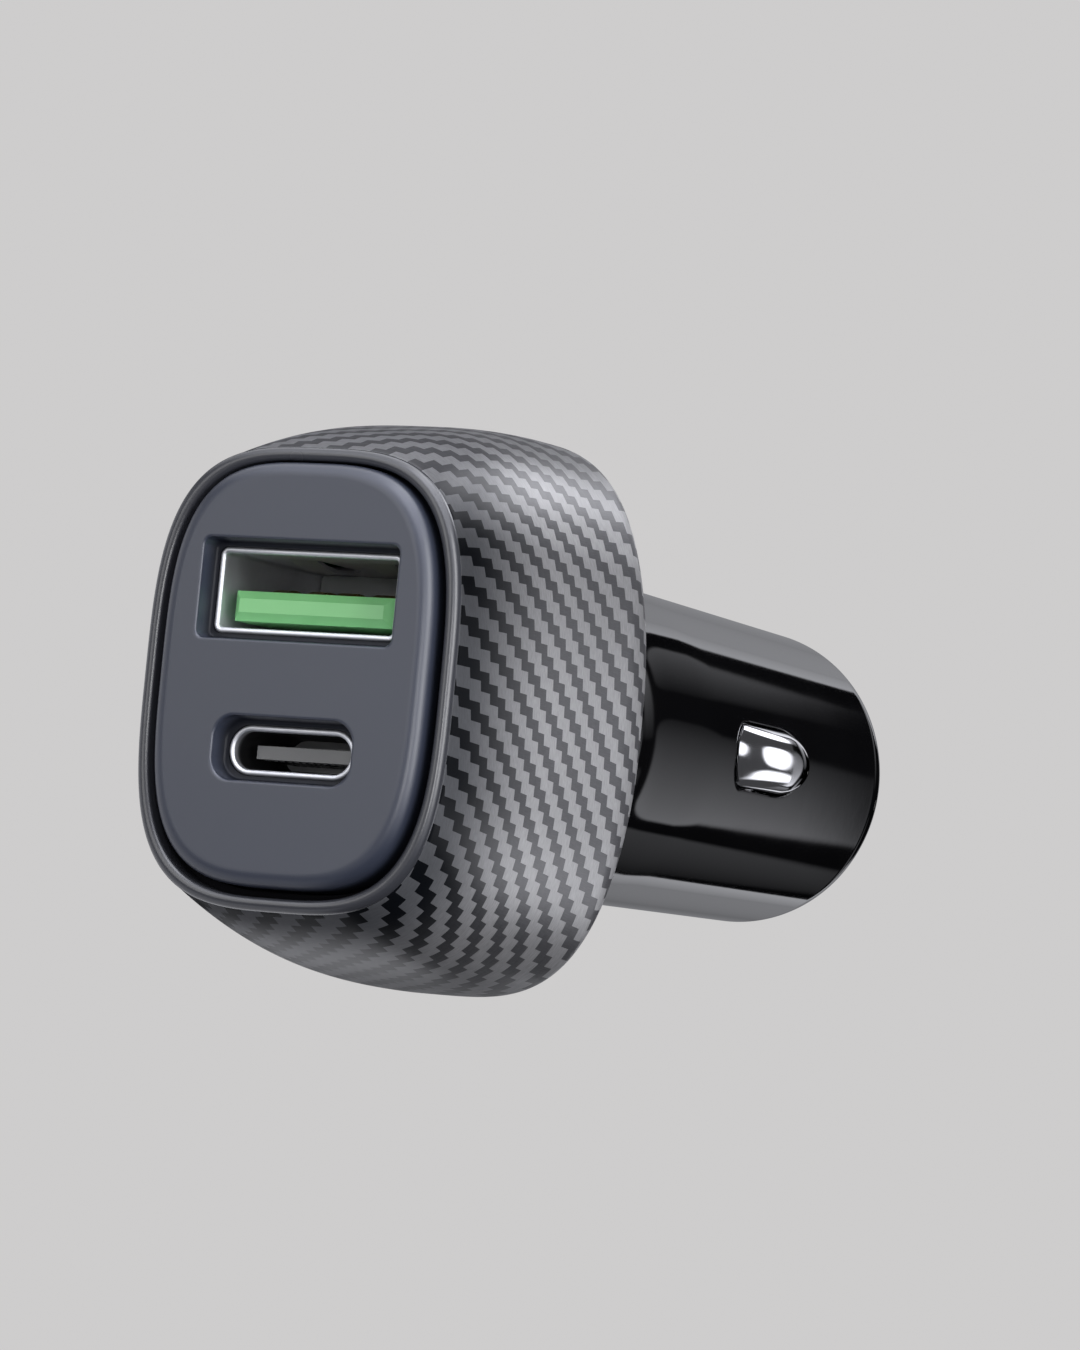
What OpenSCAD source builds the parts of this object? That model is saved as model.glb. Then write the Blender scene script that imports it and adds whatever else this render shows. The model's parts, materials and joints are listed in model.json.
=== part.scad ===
// Car charger plug with two sockets: a rounded head with a USB-A socket over a
// USB-C socket in its face, and a round barrel that goes into a 12 volt socket.
// Every piece is drawn face up: the shoulder where the barrel leaves the head is
// z = 0, the face points along +z and the USB-A socket is above (+y).
// lay() then turns it so that the barrel points along +Y and +Z is up, with the
// origin at the centre of the barrel, where its flared root becomes straight.

/* [Head shell] */
// Width of the head at its front rim
face_w = 21.5; // [20.5:0.1:22.5]
// Height of the head at its front rim
face_h = 28.1; // [26:0.1:30]
// Largest width of the head, at the back
head_w = 22.7; // [22.2:0.1:24]
// Largest height of the head, at the back
head_h = 35.1; // [32:0.1:37]
// Length from the shoulder to the shell's front edge
head_len = 24.4; // [23:0.1:28]
// Depth of the rounded back
dome_len = 3.9; // [3.4:0.1:4.6]
// Wall of the shell
shell_wall = 1.25; // [1.1:0.05:1.35]
// How square the corners are: 2 is an ellipse
corner_power = 3.3; // [3:0.1:3.8]

/* [Face] */
// Width of the satin ring round the face
bezel_w = 0.85; // [0.75:0.05:0.95]
// Height of that ring above the shell's edge
bezel_rise = 0.55; // [0.4:0.05:0.7]
// Width of the dark groove between ring and panel, at the sides and below
groove_w = 0.55; // [0.45:0.05:0.7]
// Width of that groove above the panel, which sits a little high
groove_top = 0.15; // [0.15:0.05:0.3]
// Height of the panel above the shell's edge
panel_rise = 1.3; // [1:0.1:1.6]
// Thickness of the panel
panel_t = 2; // [1.8:0.1:2.4]
// Rounding of the panel's edge
panel_round = 0.9; // [0.6:0.1:1.1]

/* [Sockets] */
// Inner width of the USB-A socket
usb_a_w = 12.3; // [12.1:0.1:12.5]
// Inner height of the USB-A socket
usb_a_h = 4.75; // [4.6:0.05:5.1]
// Height of the USB-A socket's centre above the axis
usb_a_y = 5.2; // [4.8:0.1:6.2]
// Inner width of the USB-C socket
usb_c_w = 8.35; // [8.2:0.05:8.5]
// Inner height of the USB-C socket
usb_c_h = 2.56; // [2.5:0.02:2.7]
// Depth of the USB-C socket's centre below the axis
usb_c_y = 4.4; // [4:0.1:6]
// Inner corner of the USB-A socket
usb_a_corner = 0.3; // [0.25:0.05:0.5]
// Sheet metal of the socket shells
socket_wall = 0.22; // [0.2:0.02:0.26]
// Length of the socket shells
socket_len = 14.6; // [14:0.1:15.4]
// How far the sockets sit behind the panel's surface
recess_depth = 1.4; // [1.1:0.1:1.6]
// Ledge that each recess leaves round its socket
recess_rim = 0.45; // [0.4:0.05:0.55]

/* [Barrel] */
// Diameter of the barrel's straight root
barrel_d = 20.8; // [20.4:0.1:21]
// Diameter of the barrel at its nose
nose_d = 19.8; // [19.4:0.1:20.2]
// Length from the shoulder to the end of the nose
barrel_len = 39; // [38:0.5:44]
// Length of the straight root
land_len = 8.5; // [7:0.5:10]
// Rounding of the nose
nose_round = 3.9; // [3:0.1:4.4]
// Wall of the barrel's straight root
barrel_wall = 1.8; // [1.7:0.05:1.9]

/* [Contacts] */
// Diameter of the spring-loaded contact at the nose
tip_d = 6.6; // [6:0.1:7.2]
// How far it stands out of the nose
tip_rise = 3.6; // [3.4:0.1:4.4]
// How far it can be pushed in
tip_travel = 3; // [2.4:0.1:3]
// Length of its spring at rest
spring_len = 6.1; // [5.9:0.1:7]
// Distance from the shoulder to the side contacts
side_from = 13.9; // [13:0.1:15]
// Length of a side contact's bump
side_len = 10; // [9:0.1:10.6]
// Height of that bump across the barrel
side_w = 4.1; // [3.6:0.1:4.4]
// How far the bump stands out of the barrel
side_rise = 1; // [0.8:0.05:1.1]
// Sheet metal of the side contacts
leaf_t = 0.4; // [0.3:0.05:0.45]

/* [Boards] */
// Thickness of both circuit boards
board_t = 1.2; // [1:0.1:1.4]
// Air between the sides of the port board and the shell's inner wall
board_air = 1.2; // [1.15:0.05:1.5]
// Play above and below the port board when it goes in through the shell's mouth
board_play = 0.45; // [0.35:0.05:0.6]

/* [Hidden] */
$fn = 96;
// Points round a ring of the lofted pieces
ring_n = 96;
// Play between pieces that are only fitted together
fit_gap = 0.05;
// Radial play of the moving contact in its holes
run_gap = 0.06;
// Play between loose neighbours
free_gap = 0.15;
// Overlap that keeps a cut from leaving a skin
cut = 1;

// Levels along z
seat_z = 0.8;
shell_back = 2.2;
rim_z = head_len;
panel_z = rim_z + panel_rise;
lip_z = rim_z - 1.15;
shelf_z = rim_z - 2.8;
hook_z = shelf_z - 0.7;
mouth_z = panel_z - recess_depth;
port_board_z = mouth_z - socket_len;
main_board_z = port_board_z - board_t;
spigot_z = 5.2;

// Radii of the barrel
land_r = barrel_d / 2;
nose_r = nose_d / 2;
bore_r = land_r - barrel_wall;
collar_r = land_r + 0.18;
spigot_r = bore_r + 1;
flare_len = 1.5;
flare_r = (pow(flare_len, 2) + pow(collar_r - land_r, 2)) / (2 * (collar_r - land_r));
nose_start = barrel_len - nose_round;

// Nose contact, its flange and its coil spring
nose_wall = 2.6;
nose_inner = -barrel_len + nose_wall;
flange_t = 0.8;
flange_r = tip_d / 2 + 1;
spring_low = nose_inner + fit_gap + flange_t;
spring_top = spring_low + spring_len;
wire_r = 0.26;
coil_r = 2.6;

// Brass cup that holds the spring on the board's end
cup_t = 0.7;
seat_top = spring_top;
board_end = seat_top + cup_t;

// Main board: wide in the root, slim between the side contacts
board_wide = 2 * (bore_r - 0.4);
board_foot = -1.9;
board_step = -4.4;
board_slim = 10.4;
top = board_t / 2 + 0.02;
link_x = 5;
link_w = 2.6;
// Parts along the axis: levels, and radius, height and level of the two can capacitors
coil_z = -10;
chip_z = -12.6;
fuse_z = board_end + 4.6;
input_can = [3.1, 6.4, fuse_z + 4.95];
output_can = [2.5, 5.4, fuse_z + 4.15];

// Contacts of the sockets
usb_a_pins = [-3.5, -1, 1, 3.5];
usb_a_pin_w = 1;
usb_a_pin_t = 0.3;
usb_a_low = -usb_a_h / 2 + 0.62;
usb_a_tongue_t = 1.84;
usb_c_tongue_w = 6.6;
usb_c_tongue_t = 0.8;
usb_c_base_z = mouth_z - 6.6;
usb_c_front = mouth_z - 1.4;

// Strips of the side contacts, just inside the bore
leaf_w = side_w + 0.3;
leaf_x = sqrt(bore_r * bore_r - leaf_w * leaf_w / 4) - 0.16 - leaf_t;
leaf_low = -side_from - side_len - 2.1;
leaf_high = -2.4;

// Size of the dome's back plane, hidden under the barrel
dome_w = 2 * (land_r - 0.16);
dome_h = 8.2;

// Face panel: half sizes, and how far its centre sits above the axis
panel_a = face_w / 2 - bezel_w - groove_w;
panel_b = face_h / 2 - bezel_w - (groove_w + groove_top) / 2;
panel_lift = (groove_w - groove_top) / 2;

// Mouth of the shell: half sizes of the tube round the panel and of the shelf below it
shelf_in = 0.35;
tube_a = panel_a + free_gap;
tube_b = panel_b + free_gap;
mouth_a = tube_a - shelf_in;
mouth_b = tube_b - shelf_in;
// Depth of the step that the ring's skirt stands on
skirt_in = 0.5;

// Half the outline at a level z of the tapered sides: wider and taller backwards
function side_s(z) = (rim_z - z) / (rim_z - dome_len);
function half_w(z) = (face_w + (head_w - face_w) * side_s(z)) / 2;
function half_h(z) = (face_h + (head_h - face_h) * (1 - pow(1 - side_s(z), 2.35))) / 2;

// Port board, small enough to pass the mouth, and the panel's posts that hold it
port_board_w = 2 * (half_w(port_board_z) - shell_wall - board_air);
port_board_h = 2 * (mouth_b - board_play);
post_r = 1.1;
post_x = port_board_w / 2 - 2.8;
post_y = port_board_h / 2 - 2.8;

// Polar angles of the ring points, closer together in the corners
function angle_at(t) =
  let (c = cos(t), s = sin(t))
  atan2(face_h * sign(s) * pow(abs(s), 0.8), face_w * sign(c) * pow(abs(c), 0.8));
angles = [for (i = [0:ring_n - 1]) angle_at(360 * i / ring_n)];

// Radius of a superellipse of half sizes a and b at the polar angle t
function reach(a, b, t, p = corner_power) =
  pow(pow(abs(cos(t)) / a, p) + pow(abs(sin(t)) / b, p), -1 / p);
function oval(a, b, z, up = 0) =
  [for (t = angles) let (r = reach(a, b, t)) [r * cos(t), r * sin(t) + up, z]];
function round_ring(r, z) = [for (t = angles) [r * cos(t), r * sin(t), z]];
// Ring that lies d inside the shell's outer surface at the level z
function inset(d, z) = oval(half_w(z) - d, half_h(z) - d, z);

// The rounded back: k runs from 1 at the widest section to 0 at the shoulder plane
function dome_a(k) = (dome_w + (head_w - dome_w) * k) / 2;
function dome_b(k) = (dome_h + (head_h - dome_h) * k) / 2;
function dome_reach(k, t) = reach(dome_a(k), dome_b(k), t);
// Value of k at which the dome meets the radius r, found by halving
function dome_k(r, t, lo = 0, hi = 1, left = 24) =
  left == 0 ? (lo + hi) / 2 :
  let (mid = (lo + hi) / 2)
  dome_reach(mid, t) > r ? dome_k(r, t, lo, mid, left - 1) : dome_k(r, t, mid, hi, left - 1);
function dome_point(f, r, t) =
  let (depth = sqrt(1 - pow(dome_k(r, t), 2)) * f,
    k = sqrt(1 - depth * depth), q = dome_reach(k, t))
  [q * cos(t), q * sin(t), dome_len * (1 - depth)];
function dome_ring(f, r) = [for (t = angles) dome_point(f, r, t)];

// Turns a piece from face up to barrel along +Y, with the straight root's start at the origin
module lay() {
  rotate([90, 0, 0]) translate([0, 0, flare_len]) children();
}

// Side faces between two rings that start at the point numbers a and b
function band(a, b, n) = [for (i = [0:n - 1]) let (k = (i + 1) % n)
  each [[a + i, a + k, b + k], [a + i, b + k, b + i]]];

// Skin over rings that come back to the first one: a hollow shell
module ring_loop(rings) {
  m = len(rings);
  n = len(rings[0]);
  polyhedron(
    points = [for (r = rings) each r],
    faces = [for (j = [0:m - 1]) each band(j * n, ((j + 1) % m) * n, n)],
    convexity = 8);
}

// Skin over rings from the top down, closed by a flat face at both ends
module ring_stack(rings) {
  m = len(rings);
  n = len(rings[0]);
  polyhedron(
    points = [for (r = rings) each r],
    faces = concat(
      [for (j = [0:m - 2]) each band(j * n, (j + 1) * n, n)],
      [[for (i = [n - 1:-1:0]) i]],
      [[for (i = [0:n - 1]) (m - 1) * n + i]]),
    convexity = 8);
}

// Rectangle with round corners, centred; the rounding stops at half of the short side
module rounded(w, h, r) {
  q = min(r, w / 2 - 0.001, h / 2 - 0.001);
  square([w - 2 * q, h], center = true);
  square([w, h - 2 * q], center = true);
  for (x = [-1, 1], y = [-1, 1]) {
    translate([x * (w / 2 - q), y * (h / 2 - q)]) circle(q);
  }
}

// Box given by its low and high corners
module block(low, high) {
  translate(low) cube(high - low);
}

// Box on a board: centre x and z, size along x and z, from the level y0 to y1
module chip_body(x, z, w, l, y0, y1) {
  block([x - w / 2, min(y0, y1), z - l / 2], [x + w / 2, max(y0, y1), z + l / 2]);
}

// HEAD

// Carbon-look shell: lofted, open in front, with a round seat for the barrel
module head_shell() {
  sides = 9;
  dome_steps = 6;
  outer = [for (j = [0:sides]) inset(0, rim_z - (rim_z - dome_len) * j / sides)];
  dome = [for (j = [1:dome_steps]) dome_ring(sin(90 * j / dome_steps), collar_r + fit_gap)];
  seat = [round_ring(collar_r + fit_gap, seat_z), round_ring(spigot_r + fit_gap, seat_z),
    round_ring(spigot_r + fit_gap, shell_back)];
  floor_w = max(spigot_r + 0.25, half_w(shell_back) - shell_wall);
  back_h = head_h / 2 - 3.9;
  hollow = [oval(floor_w, back_h, shell_back), oval(floor_w, back_h + 1.8, shell_back + 1.1),
    for (j = [0:4]) inset(shell_wall, dome_len + 1.2 + (hook_z - dome_len - 1.2) * j / 4)];
  mouth = [oval(mouth_a, mouth_b, hook_z, panel_lift), oval(mouth_a, mouth_b, shelf_z, panel_lift),
    oval(tube_a, tube_b, shelf_z, panel_lift), oval(tube_a, tube_b, lip_z, panel_lift),
    inset(skirt_in, lip_z), inset(skirt_in, rim_z)];
  color([0.16, 0.17, 0.19]) lay() ring_loop(concat(outer, dome, seat, hollow, mouth));
}

// Satin ring clipped into the shell's mouth, with a rounded crest
module bezel_ring() {
  skirt = skirt_in + fit_gap;
  crest = [for (u = [0:15:90]) [bezel_w * 0.55 * (1 - cos(u)), bezel_rise * sin(u)]];
  inner = [for (u = [60:-30:0]) [bezel_w * (1 - 0.45 * (1 - cos(u))), bezel_rise * (0.45 + 0.55 * sin(u))]];
  outer_rings = [for (p = crest) oval(face_w / 2 - p[0], face_h / 2 - p[0], rim_z + 0.02 + p[1])];
  inner_rings = [for (p = inner) oval(face_w / 2 - p[0], face_h / 2 - p[0], rim_z + 0.02 + p[1])];
  low = [oval(face_w / 2 - bezel_w, face_h / 2 - bezel_w, lip_z + 0.02),
    oval(face_w / 2 - skirt, face_h / 2 - skirt, lip_z + 0.02),
    oval(face_w / 2 - skirt, face_h / 2 - skirt, rim_z + 0.02)];
  rings = concat(outer_rings, inner_rings, low);
  color([0.3, 0.31, 0.34]) lay() ring_loop([for (j = [len(rings) - 1:-1:0]) rings[j]]);
}

// Hole that a socket shell comes through, with the sloped recess in front of it
module port_hole(w, h, r, corner) {
  steps = 24;
  outer_w = w + 2 * socket_wall;
  outer_h = h + 2 * socket_wall;
  slope = 0.5 * recess_rim;
  translate([0, 0, shelf_z]) linear_extrude(panel_z + cut - shelf_z)
    rounded(outer_w + 2 * fit_gap, outer_h + 2 * fit_gap, r + socket_wall + fit_gap);
  hull() {
    translate([0, 0, mouth_z]) linear_extrude(0.01)
      rounded(outer_w + 2 * (recess_rim - slope), outer_h + 2 * (recess_rim - slope), corner, $fn = steps);
    translate([0, 0, panel_z]) linear_extrude(0.01)
      rounded(outer_w + 2 * recess_rim, outer_h + 2 * recess_rim, corner + 0.05, $fn = steps);
  }
}

// Spring arm of the panel with a barb that catches behind the shell's shoulder
module panel_hook(reach_out, width) {
  arm = 0.9;
  barb = 0.5;
  block([reach_out - arm, -width / 2, hook_z - 1.9], [reach_out, width / 2, shelf_z + 0.6]);
  translate([0, width / 2, 0]) rotate([90, 0, 0]) linear_extrude(width)
    polygon([[reach_out - 0.1, hook_z - 0.1], [reach_out + barb, hook_z - 0.1],
      [reach_out + barb, hook_z - 0.6], [reach_out - 0.1, hook_z - 1.9]]);
}

// Face panel: raised plate with rounded edge, both recesses, hooks and four posts
module face_panel() {
  edge = [for (u = [0:15:90]) let (d = panel_round * (1 - sin(u)))
    oval(panel_a - d, panel_b - d, panel_z - panel_round * (1 - cos(u)), panel_lift)];
  inner = 1.2;
  color([0.33, 0.35, 0.39]) lay() {
    difference() {
      ring_stack(concat(edge, [oval(panel_a, panel_b, shelf_z + fit_gap, panel_lift)]));
      translate([0, panel_lift, shelf_z - cut]) linear_extrude(panel_z - panel_t - shelf_z + cut)
        rounded(2 * (panel_a - inner), 2 * (panel_b - inner), panel_a / 2);
      translate([0, usb_a_y, 0]) port_hole(usb_a_w, usb_a_h, usb_a_corner, usb_a_corner + 0.1);
      translate([0, -usb_c_y, 0]) port_hole(usb_c_w, usb_c_h, usb_c_h / 2, usb_c_h / 2);
    }
    for (s = [0, 180]) {
      translate([0, panel_lift, 0]) {
        rotate([0, 0, s]) panel_hook(panel_a - shelf_in, 5);
        rotate([0, 0, s + 90]) panel_hook(panel_b - shelf_in, 6);
      }
    }
    for (x = [-1, 1], y = [-1, 1]) {
      translate([x * post_x, y * post_y + panel_lift, port_board_z + fit_gap])
        cylinder(h = panel_z - panel_t + 0.2 - port_board_z - fit_gap, r = post_r);
    }
  }
}

// SOCKETS

// Spring finger of a socket shell: an arc that dips inwards, w wide
module shell_finger(w, dip, long) {
  r = (long * long / 4 + dip * dip) / (2 * dip);
  rotate([0, -90, 0]) translate([0, 0, -w / 2]) linear_extrude(w) intersection() {
    translate([0, r - dip]) difference() {
      circle(r);
      circle(r - socket_wall);
    }
    translate([-long / 2, -dip - 1]) square([long, dip + 1 + socket_wall]);
  }
}

// Drawn metal shell of the USB-A socket, with fingers and four solder legs
module usb_a_shell() {
  w = usb_a_w + 2 * socket_wall;
  h = usb_a_h + 2 * socket_wall;
  slot_l = 5.4;
  slot_w = 2.3;
  finger_z = mouth_z - 6.2;
  color([0.75, 0.76, 0.78]) lay() translate([0, usb_a_y, 0]) {
    difference() {
      translate([0, 0, port_board_z]) linear_extrude(socket_len) difference() {
        rounded(w, h, usb_a_corner + socket_wall);
        rounded(usb_a_w, usb_a_h, usb_a_corner);
      }
      for (x = [-2.7, 2.7]) {
        block([x - slot_w / 2, -h, finger_z - slot_l / 2], [x + slot_w / 2, h, finger_z + slot_l / 2]);
      }
    }
    for (x = [-2.7, 2.7], flip = [0, 180]) {
      rotate([0, 0, flip]) translate([x, usb_a_h / 2, finger_z])
        shell_finger(slot_w - 0.4, 0.45, slot_l + 0.02);
    }
    for (x = [-1, 1], y = [-1, 1]) {
      translate([x * (w / 2 - socket_wall / 2), y * (h / 2 - 1.5), port_board_z])
        translate([-socket_wall / 2, -0.6, -board_t - 0.5]) cube([socket_wall, 1.2, board_t + 0.51]);
    }
  }
}

// Green insulator of the USB-A socket: base block and chamfered tongue
module usb_a_tongue() {
  base_l = 3;
  tongue_w = 11.1;
  tongue_t = usb_a_tongue_t;
  low = usb_a_low;
  front = mouth_z - 0.45;
  chamfer = 0.5;
  color([0.45, 0.72, 0.45]) lay() translate([0, usb_a_y, 0]) difference() {
    union() {
      translate([0, 0, port_board_z + fit_gap]) linear_extrude(base_l)
        rounded(usb_a_w - 2 * fit_gap, usb_a_h - 2 * fit_gap, usb_a_corner);
      translate([0, low + tongue_t / 2, 0]) {
        translate([-tongue_w / 2, -tongue_t / 2, port_board_z + 1])
          cube([tongue_w, tongue_t, front - chamfer - port_board_z - 1]);
        hull() {
          translate([-tongue_w / 2, -tongue_t / 2, front - chamfer - 0.01]) cube([tongue_w, tongue_t, 0.01]);
          translate([-tongue_w / 2 + chamfer, -tongue_t / 2 + chamfer, front - 0.01])
            cube([tongue_w - 2 * chamfer, tongue_t - 2 * chamfer, 0.01]);
        }
      }
    }
    for (x = usb_a_pins) {
      block([x - usb_a_pin_w / 2 - fit_gap, low + tongue_t - usb_a_pin_t - 0.02, port_board_z - cut],
        [x + usb_a_pin_w / 2 + fit_gap, low + tongue_t + 0.3, port_board_z + base_l + cut]);
      block([x - usb_a_pin_w / 2 - fit_gap, low + tongue_t - usb_a_pin_t - 0.02, port_board_z],
        [x + usb_a_pin_w / 2 + fit_gap, low + tongue_t + cut, front - 0.8]);
    }
  }
}

// Four sprung contact strips, each with an arched nose above the tongue
module usb_a_contacts() {
  face_y = usb_a_low + usb_a_tongue_t;
  arch_z = mouth_z - 3.6;
  arch_l = 3;
  arch_h = 0.4;
  r = (arch_l * arch_l / 4 + arch_h * arch_h) / (2 * arch_h);
  color([0.78, 0.62, 0.3]) lay() translate([0, usb_a_y, 0]) for (x = usb_a_pins) {
    block([x - usb_a_pin_w / 2, face_y - usb_a_pin_t, port_board_z + 0.02],
      [x + usb_a_pin_w / 2, face_y, arch_z]);
    translate([x, face_y - usb_a_pin_t, arch_z]) rotate([0, -90, 0]) translate([0, 0, -usb_a_pin_w / 2])
      linear_extrude(usb_a_pin_w) intersection() {
        difference() {
          translate([0, arch_h + usb_a_pin_t - r]) circle(r);
          translate([0, arch_h - r]) circle(r);
        }
        translate([-arch_l / 2, 0]) square([arch_l, arch_h + usb_a_pin_t + 1]);
      }
  }
}

// Seamless shell of the USB-C socket, with two legs on each side
module usb_c_shell() {
  w = usb_c_w + 2 * socket_wall;
  h = usb_c_h + 2 * socket_wall;
  color([0.8, 0.81, 0.83]) lay() translate([0, -usb_c_y, 0]) {
    translate([0, 0, port_board_z]) linear_extrude(socket_len) difference() {
      rounded(w, h, h / 2);
      rounded(usb_c_w, usb_c_h, usb_c_h / 2);
    }
    for (x = [-1, 1], y = [-1, 1]) {
      translate([x * 2.2, y * (h / 2 - socket_wall / 2), port_board_z])
        translate([-0.5, -socket_wall / 2, -board_t - 0.5]) cube([1, socket_wall, board_t + 0.51]);
    }
  }
}

// Insulator of the USB-C socket: deep base and a thin middle tongue
module usb_c_tongue() {
  color([0.36, 0.37, 0.37]) lay() translate([0, -usb_c_y, 0]) {
    translate([0, 0, port_board_z + fit_gap]) linear_extrude(usb_c_base_z - port_board_z - fit_gap)
      rounded(usb_c_w - 2 * fit_gap, usb_c_h - 2 * fit_gap, usb_c_h / 2);
    translate([0, 0, usb_c_base_z - 0.01]) linear_extrude(1.2)
      rounded(usb_c_tongue_w + 0.6, 1.5, 0.6);
    block([-usb_c_tongue_w / 2, -usb_c_tongue_t / 2, usb_c_base_z],
      [usb_c_tongue_w / 2, usb_c_tongue_t / 2, usb_c_front]);
  }
}

// Flat contacts on both faces of the USB-C tongue
module usb_c_contacts() {
  pitch = 0.5;
  each_face = 12;
  leaf = 0.05;
  wide = 0.26;
  color([0.85, 0.7, 0.35]) lay() translate([0, -usb_c_y, 0]) for (i = [0:each_face - 1], s = [-1, 1]) {
    x = (i - (each_face - 1) / 2) * pitch;
    translate([x, s * (usb_c_tongue_t / 2 + leaf / 2), (usb_c_base_z + 1.19 + usb_c_front - 0.5) / 2])
      cube([wide, leaf, usb_c_front - 0.5 - usb_c_base_z - 1.19], center = true);
  }
}

// BOARDS

// Port board: stands across the head and carries both sockets
module port_board() {
  a_w = usb_a_w + 2 * socket_wall;
  a_h = usb_a_h + 2 * socket_wall;
  c_h = usb_c_h + 2 * socket_wall;
  slot = 0.2;
  color([0.1, 0.32, 0.2]) lay() difference() {
    translate([0, panel_lift, main_board_z]) linear_extrude(board_t) rounded(port_board_w, port_board_h, 5);
    for (x = [-1, 1], y = [-1, 1]) {
      translate([x * (a_w / 2 - socket_wall / 2), usb_a_y + y * (a_h / 2 - 1.5), main_board_z + board_t / 2])
        cube([socket_wall + slot, 1.2 + slot, board_t + cut], center = true);
      translate([x * 2.2, -usb_c_y + y * (c_h / 2 - socket_wall / 2), main_board_z + board_t / 2])
        cube([1 + slot, socket_wall + slot, board_t + cut], center = true);
    }
    for (x = [-1, 1]) {
      translate([x * link_x, 0, main_board_z + board_t / 2])
        cube([link_w + slot, board_t + slot, board_t + cut], center = true);
    }
  }
}

// Main board: lies along the axis, wide in the root, slim between the contacts
module main_board() {
  color([0.1, 0.35, 0.22]) lay() {
    block([-board_wide / 2, -board_t / 2, board_foot], [board_wide / 2, board_t / 2, spigot_z]);
    block([-leaf_x + free_gap, -board_t / 2, board_step],
      [leaf_x - free_gap, board_t / 2, board_foot + 0.01]);
    block([-7, -board_t / 2, spigot_z - 0.01], [7, board_t / 2, main_board_z]);
    block([-board_slim / 2, -board_t / 2, board_end], [board_slim / 2, board_t / 2, board_step + 0.01]);
    for (x = [-1, 1]) {
      block([x * link_x - link_w / 2, -board_t / 2, main_board_z - 0.01],
        [x * link_x + link_w / 2, board_t / 2, port_board_z + 0.5]);
    }
  }
}

// BARREL

// Outer profile of the barrel: flare, straight root, taper and rounded nose
module barrel_profile() {
  difference() {
    polygon([[0, seat_z], [collar_r, seat_z], [collar_r, -flare_len], [0, -flare_len]]);
    translate([land_r + flare_r, -flare_len]) circle(flare_r, $fn = 200);
  }
  polygon([[0, -flare_len], [land_r, -flare_len], [land_r, -land_len], [nose_r, -nose_start],
    [0, -nose_start]]);
  translate([nose_r - nose_round, -nose_start]) circle(nose_round);
  translate([0, -barrel_len]) square([nose_r - nose_round, nose_round]);
}

function taper_r(z) = land_r + (nose_r - land_r) * (-z - land_len) / (nose_start - land_len);

// D-shaped opening for a side contact, flat end towards the head
module side_window(gap) {
  w = side_w + 2 * gap;
  end = side_from + side_len + 0.35;
  rotate([0, 90, 0]) linear_extrude(land_r + cut) {
    translate([side_from - gap, -w / 2]) square([end - w / 2 - side_from + gap, w]);
    translate([end - w / 2, 0]) circle(w / 2);
  }
}

// Barrel: moulded tube with spigot, snap arms, windows, board rails and spring guide
module barrel() {
  rail_in = board_t / 2 + 0.1;
  rail_t = 1;
  guide_in = flange_r + run_gap + 0.04;
  color([0.05, 0.05, 0.06]) lay() {
    difference() {
      union() {
        rotate_extrude() barrel_profile();
        translate([0, 0, seat_z - 0.01]) cylinder(h = spigot_z - seat_z + 0.01, r = spigot_r);
        for (s = [-1, 1]) {
          intersection() {
            translate([0, 0, shell_back + 0.1]) cylinder(h = 1.2, r1 = spigot_r + 0.8, r2 = spigot_r);
            block([-2.5, min(0, s * 12), 0], [2.5, max(0, s * 12), spigot_z]);
          }
        }
      }
      translate([0, 0, nose_inner]) cylinder(h = spigot_z - nose_inner + cut, r = bore_r);
      translate([0, 0, -barrel_len - cut]) cylinder(h = nose_wall + 2 * cut, r = tip_d / 2 + run_gap);
      side_window(free_gap);
      mirror([1, 0, 0]) side_window(free_gap);
      for (s = [-1, 1], x = [-1, 1]) {
        block([x * 3.1 - 0.35, s > 0 ? bore_r - 1.5 : -spigot_r - 1, seat_z + 0.6],
          [x * 3.1 + 0.35, s > 0 ? spigot_r + 1 : -bore_r + 1.5, spigot_z + cut]);
      }
    }
    intersection() {
      translate([0, 0, nose_inner]) cylinder(h = spigot_z - nose_inner, r = bore_r + 0.2);
      for (x = [-1, 1], y = [-1, 1]) {
        block([x > 0 ? board_wide / 2 - 0.8 : -bore_r - 1, y > 0 ? rail_in : -rail_in - rail_t, 0.2],
          [x > 0 ? bore_r + 1 : -board_wide / 2 + 0.8, y > 0 ? rail_in + rail_t : -rail_in, spigot_z]);
        block([x > 0 ? board_slim / 2 - 0.5 : -bore_r - 1, y > 0 ? rail_in : -rail_in - rail_t, board_end - 1],
          [x > 0 ? bore_r + 1 : -board_slim / 2 + 0.5, y > 0 ? rail_in + rail_t : -rail_in, board_end + 1.6]);
      }
    }
    translate([0, 0, nose_inner - 0.01]) difference() {
      cylinder(h = tip_travel + flange_t + 0.6, r = guide_in + 0.9);
      translate([0, 0, -cut]) cylinder(h = 20, r = guide_in);
    }
  }
}

// Nose contact: domed pin with a flange and a tail that centres the spring
module centre_contact() {
  r = tip_d / 2;
  tip_z = -barrel_len - tip_rise;
  dome = 1.3;
  color([0.82, 0.8, 0.74]) lay() rotate_extrude() {
    translate([0, nose_inner + fit_gap]) square([flange_r, flange_t]);
    translate([0, tip_z + dome]) square([r, nose_inner + fit_gap - tip_z - dome + 0.01]);
    translate([0, tip_z]) square([r - dome, dome + 0.01]);
    translate([r - dome, tip_z + dome]) circle(dome);
    translate([0, spring_low - 0.01]) square([1.9, 1.6]);
  }
}

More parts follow.
